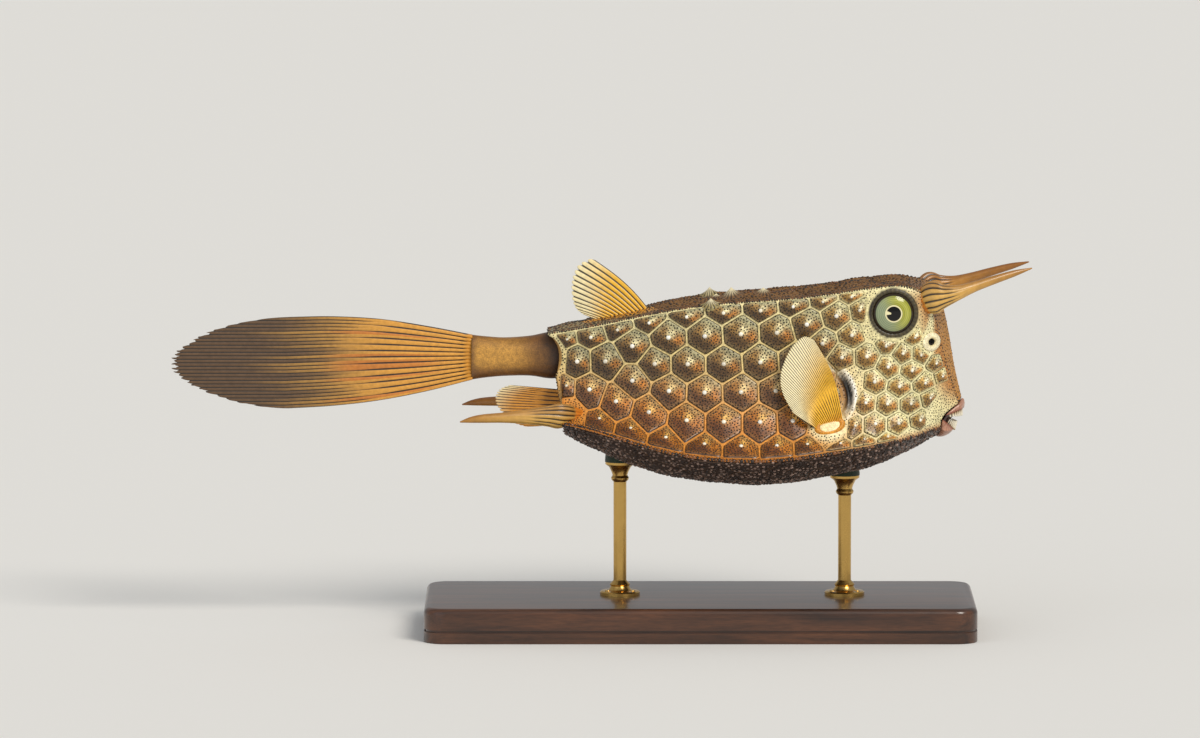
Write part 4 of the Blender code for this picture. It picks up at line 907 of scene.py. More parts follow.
def tailTint(u, v, relief):
    # gold rays between black lines (dark membrane, with painted shade in the folds between the rays), dark
    # brown towards the tip, some rays gold for longer
    x = tailPoint(u, v)[..., 0]
    rays = finForms["tail"]["rays"]
    own = np.random.default_rng(6).random(rays * 2 + 1)[(u * rays * 2).astype(int)]
    ray = painted(tone("#d99a3c"), ("#a87c38", ease(-75, -118, x)),
                  ("#bb5f1c", 0.6 * (own > 0.72) * ease(-58, -75, x) * ease(-116, -95, x)),
                  ("#5c432a", ease(-100, -136, x + 26 * (own - 0.5))))
    # black lines between the rays: dark membrane, with painted shade in the folds
    line = painted(tone("#33200c"), ("#0f0a06", ease(-70, -120, x)))
    edge = ease(0.02, 0.03, v) * ease(0.055, 0.04, v) * ease(0.75, 0.5, relief)
    return painted(mix(line, ray, ease(0.34, 0.66, relief)), ("#d08e28", 0.9 * ease(0.034, 0.02, v)),
                   ("#2a1606", 0.8 * edge))


def yellowTint(ink, yellow, pale):
    def paint(u, v, relief):
        ray = painted(plain(yellow, (*u.shape, 3)),
                      ("#f3e6b6", 0.95 * ease(0, 0.55, v - pale + 0.5 * (u - 0.45))),
                      ("#d98a1c", 0.6 * ease(0.14, 0.0, v)))
        # black lines between the rays: dark membrane, with painted shade in the folds between them
        return mix(plain(ink, ray.shape), ray, ease(0.38, 0.68, relief))
    return paint


finFinish = paintedFinish("varnishedFinRays", roughness=0.42, coat=0.2, mottle=0.12, mottleSize=1.6,
                          grain=0.4, bump=0.08)
yellowFinish = paintedFinish("varnishedYellowFin", roughness=0.4, coat=0.2, mottle=0.1, mottleSize=1.6,
                             grain=0.4, bump=0.08)
settle(finSheet("tail_fin_rays", tailPoint, finForms["tail"], tailTint), finFinish, "tail_fin", "tail_fin")
settle(finSheet("dorsal_fin_rays", flatFin(fins["dorsalRoot"], fins["dorsalEdge"], 1.6), finForms["dorsal"],
                yellowTint("#150c03", "#f0b82c", 0.35)), yellowFinish, "yellow_fins", "dorsal_fin")
settle(finSheet("anal_fin_rays", flatFin(fins["analRoot"], fins["analEdge"], -1.2), finForms["anal"],
                yellowTint("#2a1606", "#cf8c2c", 0.75)), yellowFinish, "yellow_fins", "anal_fin")
settlePair(finSheet("pectoral_fin_rays_right", pectoralPoint, finForms["pectoral"],
                    yellowTint("#150c03", "#efb62c", 0.3)), yellowFinish, "yellow_fins", "pectoral_fin")
print("fins done")

# Horns and rear spines: x, half width, height, half height, half thickness, lean in degrees
spines = {"horn": ((122.0, 14.0, 72.0, 2.6, 1.8, 0), (128.0, 16.2, 73.6, 4.7, 2.9, 0),
                   (133.0, 18.7, 75.7, 6.4, 4.1, 0), (137.5, 19.6, 76.5, 4.4, 3.3, 0),
                   (142.5, 19.6, 77.7, 3.0, 2.6, 0), (149.0, 18.6, 79.9, 2.1, 1.9, 0),
                   (157.0, 17.0, 82.5, 1.7, 1.5, 0), (165.0, 15.2, 84.9, 1.25, 1.1, 0),
                   (172.0, 13.6, 86.8, 0.25, 0.25, 0)),
          "rear_spine": ((-1.0, 15.0, 27.4, 1.2, 1.0, 45), (-9.0, 20.6, 28.2, 3.6, 2.4, 45),
                         (-15.5, 25.2, 28.8, 5.6, 3.8, 42), (-21.0, 27.4, 29.0, 4.3, 3.2, 30),
                         (-29.0, 29.2, 29.0, 3.0, 2.5, 18), (-38.0, 30.6, 28.8, 2.1, 1.9, 8),
                         (-46.5, 31.5, 28.5, 1.7, 1.5, 0), (-51.5, 31.9, 28.0, 1.15, 1.0, 0),
                         (-55.6, 32.2, 27.2, 0.25, 0.25, 0)),
          # the last entry darkens the far horn and spine: painted shade
          "around": 96, "steps": 110, "grooves": 14, "farShade": (0.74, 0.6, 0.4, 1.0)}


def spinePiece(name, rows, rimPlace):
    # tapered spine with grooves that fade away from its root, right flank
    t = np.linspace(0, 1, spines["steps"])
    rows = [(x, -w, z, high, thick, lean) for x, w, z, high, thick, lean in rows]
    here = along(rows, t)
    run = (along(rows, np.minimum(t + 0.03, 1)) - along(rows, np.maximum(t - 0.03, 0)))[:, :3]
    run /= np.linalg.norm(run, axis=1, keepdims=True)
    across = np.cross(run, (0, 0, 1))
    across /= np.linalg.norm(across, axis=1, keepdims=True)
    lean = -np.radians(here[:, 5:6])
    across = across * np.cos(lean) + np.cross(run, across) * np.sin(lean)
    up = np.cross(across, run)
    turn = np.linspace(0, 2 * np.pi, spines["around"], endpoint=False)[None, :, None]
    fade = ease(0.62, 0.3, t)[:, None, None]
    fromValley = (turn * spines["grooves"] / (2 * np.pi)) % 1 - 0.5
    valley = np.exp(-(fromValley / lerp(0.2, 0.1, t)[:, None, None]) ** 2)
    groove = 1 + 0.05 * fade - 0.15 * fade * valley
    ring = (across[:, None] * here[:, None, 4:5] * np.cos(turn)
            + up[:, None] * here[:, None, 3:4] * np.sin(turn)) * groove
    grid = here[:, None, :3] + (0, 0, lift) + ring
    place, upper, cut = (np.broadcast_to(part, grid.shape[:2]) for part in (t[:, None], np.sin(turn)[..., 0],
                                                                            valley[..., 0]))
    ink = cut * ease(0.6, 0.35, place) * ease(rimPlace + 0.005, rimPlace + 0.02, place)
    colour = painted(plain("#d3a552", grid.shape), ("#a9762c", ease(0.35, 0.95, place)),
                     ("#94602a", 0.6 * ease(0.2, 0.9, upper)),
                     ("#d07a1c", 0.9 * ease(rimPlace + 0.02, rimPlace + 0.005, place)),
                     ("#170c03", 0.97 * ease(0.2, 0.6, ink)))
    return closedMesh(name, grid.reshape(-1, 3), tubeFaces(*grid.shape[:2]), colour.reshape(-1, 3))


hornFinish = paintedFinish("varnishedHorn", roughness=0.36, coat=0.35, mottle=0.12, mottleSize=2.5,
                           grain=0.5, bump=0.06)
for node, label, rimPlace in (("horn", "horn_ribbed", 0.165), ("rear_spine", "rear_spine_ribbed", 0.17)):
    far = settlePair(spinePiece(label + "_right", spines[node], rimPlace), hornFinish, "horn", node)
    # painted shade: the far (left) horn and spine are darkened
    tints = far.data.color_attributes["tint"].data
    shadedFarTints = np.zeros(len(tints) * 4, np.float32)
    tints.foreach_get("color", shadedFarTints)
    tints.foreach_set("color", shadedFarTints * np.tile(spines["farShade"], len(tints)))
print("spines done")

# Small forms are cut from a ball once and set on the skin by the hundred
grains = {"flankSpacing": 0.92, "backSpacing": 1.2, "bellySpacing": 1.5, "crowding": 7, "seamClear": 0.5,
          "steepest": 0.84, "eyeClear": 10.6, "noseClear": 3.6, "gillClear": 1.7, "padClear": 7.0,
          "footClear": 3.9, "footPlace": (91.2, 25.2), "boxHalf": 48.42}


def takenShape(piece):
    # points and faces of a piece that is then removed
    points = np.array([v.co for v in piece.data.vertices])
    faces = [tuple(p.vertices) for p in piece.data.polygons]
    bpy.data.meshes.remove(piece.data)
    return points, faces


def unitForm(segments, rings, squash):
    # upper half of a ball of radius 1, its points and faces
    bpy.ops.mesh.primitive_uv_sphere_add(segments=segments, ring_count=rings, radius=1)
    ball = bpy.context.object
    bpy.ops.object.mode_set(mode="EDIT")
    bpy.ops.mesh.select_all(action="SELECT")
    bpy.ops.mesh.bisect(plane_co=(0, 0, 0.02), plane_no=(0, 0, 1), use_fill=True, clear_inner=True)
    bpy.ops.object.mode_set(mode="OBJECT")
    points, faces = takenShape(ball)
    return points * (1, 1, squash), faces


def setForms(name, form, spots, normals, sizes, colours):
    # a copy of one small form on the skin at every spot
    points, faces = form
    spots, up = np.asarray(spots), np.asarray(normals)
    side = np.cross(up, (0.31, 0.17, 0.93))
    side /= np.linalg.norm(side, axis=1, keepdims=True)
    other = np.cross(up, side)
    scaled = points[None] * np.asarray(sizes)[:, None, None]
    grid = (side[:, None] * scaled[..., :1] + other[:, None] * scaled[..., 1:2]
            + up[:, None] * scaled[..., 2:] + (spots - up * 0.04)[:, None])
    grid[..., 1] = np.clip(grid[..., 1], -grains["boxHalf"], grains["boxHalf"])
    count = len(points)
    every = [tuple(i + k * count for i in face) for k in range(len(spots)) for face in faces]
    return closedMesh(name, grid.reshape(-1, 3), every, np.repeat(colours, count, 0))


def meshTree(*pieces):
    points, faces = [], []
    for piece in pieces:
        start = len(points)
        points += [v.co / mm for v in piece.data.vertices]
        faces += [[start + i for i in p.vertices] for p in piece.data.polygons]
    return BVHTree.FromPolygons(points, faces)


detailTree = meshTree(skinPiece, flankPiece, backPiece, bellyPiece)
plateTree = meshTree(flankPiece, backPiece, bellyPiece)
skinFaces = len(skinPiece.data.polygons)
columns = shellRings.shape[1]
ridgeColumn, edgeColumn = skin["backSteps"], skin["backSteps"] + skin["sideSteps"]


def strewn(columnsUsed, spacing, inward, seed):
    # spots over a band of the shell, none closer than the spacing, with outward normals
    draw = np.random.default_rng(seed)
    near = np.asarray(columnsUsed) % columns
    far = (near + 1) % columns
    a, b, c, d = shellRings[:-1, near], shellRings[:-1, far], shellRings[1:, far], shellRings[1:, near]
    cross = np.cross(c - a, d - b).reshape(-1, 3)
    size = np.linalg.norm(cross, axis=1)
    tries = int(size.sum() / 2 / spacing ** 2 * grains["crowding"])
    pick = draw.choice(len(size), tries, p=size / size.sum())
    u, v = draw.random((2, tries, 1))
    a, b, c, d = (corner.reshape(-1, 3)[pick] for corner in (a, b, c, d))
    spots = (a * (1 - u) + b * u) * (1 - v) + (d * (1 - u) + c * u) * v
    normals = cross[pick] / size[pick, None]
    normals[(normals @ np.asarray(inward, float)) > 0] *= -1
    taken, kept = {}, []
    for k, spot in enumerate(spots.tolist()):
        i, j, l = (int(value // spacing) for value in spot)
        near = ((i + p, j + q, l + r) for p in (-1, 0, 1) for q in (-1, 0, 1) for r in (-1, 0, 1))
        if not any(sum((p - q) ** 2 for p, q in zip(other, spot)) < spacing ** 2
                   for key in near for other in taken.get(key, ())):
            taken.setdefault((i, j, l), []).append(spot)
            kept.append(k)
    return spots[kept], normals[kept]


def landed(spots, normals, keepSeams=False):
    # where the spots meet the finished skin, leaving out seams, plates' steep rims, eye, nostril and gill
    path = along(gillLine, np.linspace(0, 1, 20))
    cleared = ((eyePlace, 1.0, grains["eyeClear"]), (noseHole, 1.0, grains["noseClear"]),
               (grains["footPlace"], 0.6, grains["footClear"]))
    places, facings = [], []
    for spot, normal in zip(spots, normals):
        x, z = spot[0], spot[2] - lift
        away = min(math.hypot((x - px) * narrow, z - pz) - clear for (px, pz), narrow, clear in cleared)
        if away < 0 and normal[1] ** 2 > 0.3:
            continue
        if np.hypot(path[:, 0] - x, path[:, 1] - z).min() < grains["gillClear"] and normal[1] ** 2 > 0.1:
            continue
        if normal[2] < 0 and min(math.hypot(x - place, spot[1]) for place in rodPlaces) < grains["padClear"]:
            continue
        hit, facing, index, _ = detailTree.ray_cast(Vector(spot + normal * 4), Vector(-normal), 9.0)
        if hit is None:
            continue
        facing = outward(Vector(-normal), facing)
        if index < skinFaces:
            if not keepSeams and plateTree.find_nearest(hit, grains["seamClear"])[0] is not None:
                continue
        elif not keepSeams and facing.dot(Vector(normal)) < grains["steepest"]:
            continue
        places.append(hit)
        facings.append(facing)
    return np.array(places), np.array(facings)


def chosenTints(count, seed, *hexes):
    draw = np.random.default_rng(seed)
    palette = np.array([tone(text) for text in hexes])
    return palette[draw.integers(0, len(hexes), count)] * draw.uniform(0.8, 1.2, (count, 1))


grainFinish = paintedFinish("varnishedGrain", roughness=0.38, coat=0.2, mottle=0.1, mottleSize=0.8,
                            grain=0.3, bump=0.0)
dotForm, grainForm, pearlForm = unitForm(6, 2, 0.8), unitForm(6, 4, 0.75), unitForm(16, 10, 0.75)
flankColumns = range(columns - edgeColumn, columns - ridgeColumn)
spots, normals = landed(*strewn(flankColumns, grains["flankSpacing"], (0, 1, 0), 1))
headShare = ease(80, 112, spots[:, 0])
sizes = lerp(0.36, 0.29, headShare) * np.random.default_rng(2).uniform(0.85, 1.15, len(spots))
flankGrains = setForms("grains_right", dotForm, spots, normals, sizes,
                       chosenTints(len(spots), 3, "#171006", "#23180a"))
settlePair(flankGrains, grainFinish, "shell_plates")
print("flank grains:", len(spots))
spots, normals = landed(*strewn(range(-ridgeColumn, ridgeColumn), grains["backSpacing"], (0, 0, -1), 4), True)
sizes = lerp(0.5, 0.3, ease(118, 134, spots[:, 0])) * np.random.default_rng(5).uniform(0.7, 1.2, len(spots))
grainTints = np.where((spots[:, :1] > 127), chosenTints(len(spots), 6, "#241306", "#1a0e05"),
                      chosenTints(len(spots), 6, "#2b190b", "#4a2e14", "#1c1108", "#7a5226", "#5f3d1a"))
backGrains = setForms("grains_back", grainForm, spots, normals, sizes, grainTints)
settle(backGrains, grainFinish, "shell_plates")
bellyColumns = range(edgeColumn, columns - edgeColumn)
spots, normals = landed(*strewn(bellyColumns, grains["bellySpacing"], (0, 0, 1), 7), True)
sizes = 0.72 * np.random.default_rng(8).uniform(0.7, 1.15, len(spots))
bellyGrains = setForms("grains_belly", grainForm, spots, normals, sizes,
                       chosenTints(len(spots), 9, "#7d6458", "#5b463b", "#2a1a12", "#3b281d", "#9a8072"))
settle(bellyGrains, grainFinish, "shell_plates")

# White pearls on the flank's plates
peaks = [(tuple(top - normal * 0.12), tuple(normal), float(np.clip(0.16 * reach.mean(), 0.5, 0.95)))
         for _, reach, top, normal in flankDomes]
spots, normals, sizes = (np.array(values) for values in zip(*peaks))
pearls = setForms("pearls_right", pearlForm, spots, normals, sizes,
                  chosenTints(len(spots), 10, "#f6f1e4", "#efe7d2"))
pearlFinish = paintedFinish("glossyPearl", roughness=0.25, coat=0.6, mottle=0.04, mottleSize=1.0,
                            grain=0.3, bump=0.0)
settlePair(pearls, pearlFinish, "shell_plates")


def ridgeBeads(name, line, inward, spacing, size, hexes, seed, sink=0.0):
    # close row of beads on the skin along a line of (x, half width, height)
    inward = Vector(inward).normalized()
    path = along(line, np.linspace(0, 1, 2000)) * (1, -1, 1) + (0, 0, lift)
    run = np.concatenate([[0], np.cumsum(np.linalg.norm(np.diff(path, axis=0), axis=1))])
    even = np.arange(spacing, run[-1], spacing)
    places, facings = [], []
    for x, y, z in np.stack([np.interp(even, run, path[:, axis]) for axis in range(3)], 1):
        hit = detailTree.ray_cast(Vector((x, y, z)) - inward * 5, inward, 9.0)[0]
        if hit is not None:
            places.append(hit + inward * sink)
            facings.append(-inward)
    sizes = size * np.random.default_rng(seed).uniform(0.8, 1.15, len(places))
    return setForms(name, grainForm, places, facings, sizes, chosenTints(len(places), seed, *hexes))


darkBeads = ("#2b190c", "#4a2c14", "#1c1008", "#7a4c28")
toHorn = [row for row in shellLines["upperRidge"] if row[0] < 131]
brow = [(x, w * 0.86, z) for x, w, z in shellLines["upperRidge"]]
for label, line, inward, spacing, size, sink in (
        ("beads_upper", toHorn, (0, 1, -1.2), 1.0, 0.5, 0.05),
        ("beads_lower", shellLines["lowerRidge"], (0, 1, 0.25), 1.45, 0.85, 0.35),
        ("beads_brow", brow, (0, 0.4, -1), 1.5, 0.55, 0.05)):
    settlePair(ridgeBeads(label + "_right", line, inward, spacing, size, darkBeads, 11, sink), grainFinish,
               "shell_plates")
topLine = [(x, 0.0, z) for x, z in shellLines["midBack"][:13]]
settle(ridgeBeads("beads_middle", topLine, (0, 0, -1), 1.6, 0.6, darkBeads, 12), grainFinish, "shell_plates")


# Thorns: steps round and down, ribs and their height, how steeply a thorn rises and how deep its foot goes
thorns = {"around": 96, "rows": 24, "ribs": 14, "ribHeight": 0.1, "steep": 2.4, "sunk": 1.0,
          "back": ((46.4, 75.4, 3.6), (52.4, 78.0, 6.4), (65.2, 77.8, 5.0)),
          "ridge": (44.0, -23.4, 75.8), "ridgeRadius": 4.6}


def thorn(name, tip, up, radius, hexText):
    # thorn drawn up out of the skin to its tip, with ribs that run down from there
    tip, up = Vector(tip), Vector(up).normalized()
    side = up.cross(Vector((0, 1, 0))).normalized()
    other = up.cross(side)
    turn = np.linspace(0, 2 * np.pi, thorns["around"], endpoint=False)
    rows = np.linspace(1, 0.015, thorns["rows"])
    high = (tip - detailTree.ray_cast(tip + up * 5, -up)[0]).dot(up)
    points = []
    for q in rows:
        rise = high * (1 - q) ** thorns["steep"] - thorns["sunk"] * float(ease(0.88, 1.0, q))
        for angle in turn:
            spot = tip + (side * math.cos(angle) + other * math.sin(angle)) * radius * q
            foot = detailTree.ray_cast(spot + up * 5, -up)[0]
            rib = thorns["ribHeight"] * math.cos(angle * thorns["ribs"]) * math.sin(math.pi * q)
            points.append(foot + up * (rise + rib))
    q, ribs = (part.ravel() for part in np.meshgrid(rows, np.cos(turn * thorns["ribs"]), indexing="ij"))
    colour = painted(plain(hexText, (len(q), 3)), ("#e9dcb4", ease(0.6, 0.1, q)),
                     ("#1c1006", 0.8 * ease(-0.1, -0.6, ribs) * ease(0.08, 0.25, q) * ease(0.95, 0.6, q)))
    return closedMesh(name, [tuple(p) for p in points], tubeFaces(len(rows), len(turn)), colour)


for number, (x, z, radius) in enumerate(thorns["back"]):
    tip = (x, 0, z + lift - 0.05)
    settle(thorn(f"back_thorn_{number}", tip, (0, 0, 1), radius, "#7a562c"), grainFinish, "shell_plates")
x, y, z = thorns["ridge"]
settlePair(thorn("ridge_thorn_right", (x, y, z + lift), (0, -0.8, 1), thorns["ridgeRadius"], "#9c8b56"),
           grainFinish, "shell_plates")
print("small forms done")

# Eyes, with their rims, and the nostrils' pads
# the wedge and its turn set the width and the direction of the painted highlight in the pupil
eyes = {"radius": 8.2, "bulge": 2.8, "depth": 5.0, "pupil": 2.95, "ring": 3.42, "iris": 7.0, "rim": 8.95,
        "rimThick": 1.05, "wedge": (0.32, 0.22), "highlightTurn": math.pi - 0.12, "backRows": 20,
        "around": 128, "rows": 96, "nose": 2.35, "noseThick": 1.1}


def skinFrame(x, z):
    # frame on the right flank: Z out of the skin, Y up
    spot, normal = castFlank(x, z)
    out = outward(Vector((0, 1, 0)), normal)
    across = Vector((0, 0, 1)).cross(out).normalized()
    turned = Matrix((across, out.cross(across), out)).transposed().to_4x4()
    turned.translation = spot
    return turned


def placed(points, turned):
    grid = np.asarray(points, float)
    return grid @ np.array(turned.to_3x3()).T + np.array(turned.translation)


def eyeball(name):
    # flattened ball, its front painted as pupil, pale ring, ringed iris and dark outer ring, with a painted
    # highlight: a pale wedge in the pupil
    turn = np.linspace(0, 2 * np.pi, eyes["around"], endpoint=False)
    front = np.linspace(0.02, 1, eyes["rows"])
    back = np.linspace(np.pi / 2, 0.02, eyes["backRows"])[1:]
    reach = np.concatenate([front, np.sin(back)]) * eyes["radius"]
    height = np.concatenate([eyes["bulge"] * np.sqrt(1 - front ** 2), -eyes["depth"] * np.cos(back)])
    grid = np.stack([reach[:, None] * np.cos(turn), reach[:, None] * np.sin(turn),
                     np.broadcast_to(height[:, None], (len(reach), len(turn)))], -1)
    r = np.concatenate([front * eyes["radius"], np.full(len(back), 9.0)])[:, None] * np.ones(grid.shape[:2])
    toRight = ease(-0.9, 0.9, np.cos(turn - 0.4))[None, :] * np.ones(r.shape)
    fromHighlight = np.abs((turn - eyes["highlightTurn"] + np.pi) % (2 * np.pi) - np.pi)[None, :]
    colour = painted(tone("#96a17e"), ("#a3a23c", toRight),
                     ("#c6c766", 0.5 * ease(0.2, 1.0, toRight) * ease(4.2, 5.2, r) * ease(6.6, 5.6, r)),
                     ("#39482e", 0.5 * ease(0.3, 0.95, np.sin(r * 2 * np.pi / 0.7))),
                     ("#3c4a2a", 0.6 * ease(6.6, 7.3, r)),
                     ("#2a1f10", ease(eyes["iris"], eyes["iris"] + 0.25, r)),
                     ("#ece3b4", ease(eyes["ring"] + 0.15, eyes["ring"] - 0.1, r)),
                     ("#060504", ease(eyes["pupil"] + 0.08, eyes["pupil"] - 0.08, r)),
                     # painted highlight: a pale wedge in the pupil, towards the left
                     ("#ece3b4", ease(*eyes["wedge"], fromHighlight) * ease(0.9, 1.3, r) * ease(3.2, 3.0, r)))
    points = placed(grid.reshape(-1, 3), skinFrame(*eyePlace))
    return closedMesh(name, points, tubeFaces(*grid.shape[:2]), colour.reshape(-1, 3))


def fleshRing(name, turned, major, minor, shape, hexText, lineText):
    # ring-shaped fold of skin, from a torus
    bpy.ops.mesh.primitive_torus_add(major_radius=major, minor_radius=minor, major_segments=120,
                                     minor_segments=20)
    grid, faces = takenShape(bpy.context.object)
    crease = np.cos(np.arctan2(grid[:, 1], grid[:, 0]) * 34)
    away = np.hypot(grid[:, 0], grid[:, 1]) - major
    grid = grid * shape
    grid[:, 2] += 0.06 * crease
    colour = painted(plain(hexText, grid.shape), (lineText, 0.6 * ease(0.2, 0.9, crease)),
                     (lineText, 0.7 * ease(0.2, 0.9, -away / minor)))
    return closedMesh(name, placed(grid, turned), faces, colour)


glassFinish, glassTree, glassShader = newMaterial("glassEye", {
    "Roughness": 0.12, "IOR": 1.5, "Specular IOR Level": 0.3, "Coat Weight": 0.2, "Coat Roughness": 0.03})
eyeTint = addNode(glassTree, "ShaderNodeVertexColor", {"layer_name": "tint"})
glassTree.links.new(eyeTint.outputs["Color"], glassShader.inputs["Base Color"])
settlePair(eyeball("eye_glass_right"), glassFinish, "eyes", "eye")
footFrame = skinFrame(*grains["footPlace"]) @ Matrix.Rotation(math.radians(18), 4, "Z")
for label, slot, turned, major, minor, shape, hexText, lineText in (
        ("eye_rim", "head_skin", skinFrame(*eyePlace), eyes["rim"], eyes["rimThick"], (1, 1, 0.7),
         "#4a4024", "#171007"),
        ("nostril_pad", "head_skin", skinFrame(*noseHole), eyes["nose"], eyes["noseThick"], (1.42, 1.1, 0.6),
         "#f1e7c2", "#cdbb86"),
        ("pectoral_foot", "yellow_fins", footFrame, 5.2, 1.35, (1, 0.58, 1.3), "#dd962a", "#a8691c")):
    settlePair(fleshRing(label + "_right", turned, major, minor, shape, hexText, lineText), skinFinish, slot)
print("eyes, nostrils and feet of the fins done")

# Mouth: lips parted by a wedge, with teeth in the gape
mouthForm = {"corner": (136.2, 26.4), "top": (145.4, 29.4), "low": (141.4, 21.2), "gap": 0.35, "voxel": 0.24,
             "rings": ((0.985, 0.0), (1.0, 0.9), (0.9, 2.1), (0.72, 3.3), (0.48, 4.3), (0.2, 4.8)),
             "teeth": 17, "spread": 82.0, "broad": 0.92}


def lipPlug(name, width=1.0, length=1.0):
    rim = wholeRings(halfSections(np.array([1.0]), 8, 24, 12))[0]
    top, low = Vector(rim[0]), Vector(rim[44])
    middle = rim.mean(0)
    slope = (top - low).normalized()
    out = np.array((slope.z, 0, -slope.x))
    shares = along(mouthForm["rings"], np.linspace(0, 1, 26))
    grid = np.array([middle + (rim - middle) * size * width + out * (forward * length + mouthForm["gap"])
                     for size, forward in shares])
    return closedMesh(name, grid.reshape(-1, 3), tubeFaces(*grid.shape[:2]))


def applied(piece, kind, **settings):
    modifier = piece.modifiers.new(kind.lower(), kind)
    for key, value in settings.items():
        setattr(modifier, key, value)
    bpy.ops.object.select_all(action="DESELECT")
    bpy.context.view_layer.objects.active = piece
    piece.select_set(True)
    bpy.ops.object.modifier_apply(modifier=modifier.name)


def lip(name, edge, sign):
    # the plug without the wedge below the upper lip's edge, or above the lower one's
    piece = lipPlug(name)
    cx, cz = mouthForm["corner"]
    slope = (edge[1] - cz) / (edge[0] - cx)
    profile = ((cx - 12, cz), (cx, cz), (cx + 30, cz + slope * 30), (cx + 30, cz + sign * 60),
               (cx - 12, cz + sign * 60))
    wedge = closedMesh("wedge", [(x, y, z + lift) for y in (-20, 20) for x, z in profile],
                       tubeFaces(2, len(profile)))
    applied(piece, "BOOLEAN", operation="DIFFERENCE", solver="EXACT", object=wedge)
    bpy.data.objects.remove(wedge)
    applied(piece, "REMESH", mode="VOXEL", voxel_size=mouthForm["voxel"] * mm, adaptivity=0.0)
    applied(piece, "SMOOTH", iterations=6, factor=0.5)
    points = np.array([v.co for v in piece.data.vertices]) / mm
    inner = np.abs(points[:, 2] - lift - cz - slope * (points[:, 0] - cx))
    crease = np.cos(points[:, 1] * 2 * np.pi / 0.9)
    paintPoints(piece.data, painted(plain("#b5836a", points.shape), ("#8a4a34", ease(1.2, 0.2, inner)),
                                    ("#7a4630", 0.5 * ease(0.4, 1.0, crease))))
    piece.data.shade_smooth()
    return piece


def toothForm():
    # upright tooth of size 1, its corners rounded
    bpy.ops.mesh.primitive_cube_add(size=1)
    tooth = bpy.context.object
    applied(tooth, "BEVEL", width=0.22, segments=3)
    points, faces = takenShape(tooth)
    points[:, :2] *= np.interp(points[:, 2], (-0.5, 0.5), (1.0, 0.82))[:, None]
    return points, faces


def teeth(name, edge, tip, reach, sign, form):
    # curved row of teeth from the lip's edge to the line of their tips; sign is 1 where they point up
    cx, cz = mouthForm["corner"]
    lipSlope, tipSlope = (edge[1] - cz) / (edge[0] - cx), (tip[1] - cz) / (tip[0] - cx)
    points, faces = form
    spread, count = math.radians(mouthForm["spread"]), mouthForm["teeth"]
    lean, reach = (1.0 if sign > 0 else 0.3), reach - 0.35
    broad = 1.86 * reach * 0.9 * spread / count * 0.88
    every, grid = [], []
    for k in range(count):
        turn = spread * (2 * (k + 0.5) / count - 1)
        x, y = cx + 1.4 + reach * math.cos(turn) ** 0.8, reach * mouthForm["broad"] * math.sin(turn)
        gum = cz + lipSlope * (x - cx) - sign * 0.25
        end = cz + tipSlope * (x + lean - cx)
        spin = Matrix.Rotation(turn * 0.9, 3, "Z")
        start = len(grid)
        for px, py, pz in points:
            local = spin @ Vector((px * 0.75, py * broad, 0))
            share = 0.5 + pz                              # 0 at the gum, 1 at the tip
            grid.append((x + local.x + lean * share, y + local.y, lerp(gum, end, share) + lift))
        every += [tuple(start + i for i in face) for face in faces]
    grid = np.array(grid)
    root = np.abs(grid[:, 2] - lift - cz - lipSlope * (grid[:, 0] - cx))
    colour = painted(plain("#e9e2cc", grid.shape), ("#a98a5c", ease(0.9, 0.1, root)))
    return closedMesh(name, grid, every, colour)


lipFinish = paintedFinish("varnishedLip", roughness=0.34, coat=0.4, mottle=0.15, mottleSize=0.9, grain=0.25,
                          bump=0.2)
enamel = paintedFinish("toothEnamel", roughness=0.22, coat=0.4, mottle=0.06, mottleSize=0.8, grain=0.3,
                       bump=0.0)
oneTooth = toothForm()
for side, edge, tip, reach, sign in (("upper", mouthForm["top"], (144.8, 26.5), 7.4, -1),
                                     ("lower", mouthForm["low"], (142.8, 24.2), 4.6, 1)):
    settle(lip(f"lip_{side}_soft", edge, sign), lipFinish, "lips", "lip_" + side)
    settle(teeth(f"teeth_{side}_row", edge, tip, reach, sign, oneTooth), enamel, "teeth", "teeth_" + side)
flesh = lipPlug("mouth_flesh", 0.7, 0.35)
paintPoints(flesh.data, tone("#3a1a12"))
settle(flesh, lipFinish, "lips")
print("mouth done")

# Stand: wooden base with a moulded edge, and turned brass rods
stand = {"length": 220.0, "width": 92.0, "height": 14.0, "middleX": 40.0, "corner": 9.0, "edge": 2.4,
         "footEdge": 0.5, "groove": (4.4, 5.4), "grooveDepth": 0.8, "rodRadius": 2.6, "flange": 8.0,
         "pad": 6.0, "screwCircle": 5.7, "screwRadius": 1.15, "screwHeight": 0.9,
         "screwSlot": (4.0, 0.34, 0.5)}


def pick(piece, kind, test):
    # select the faces or the edges that pass the test, in edit mode
    bpy.ops.mesh.select_all(action="DESELECT")
    bpy.ops.mesh.select_mode(type=kind)
    shape = bmesh.from_edit_mesh(piece.data)
    for part in shape.faces if kind == "FACE" else shape.edges:
        part.select_set(bool(test(part)))
    bmesh.update_edit_mesh(piece.data)


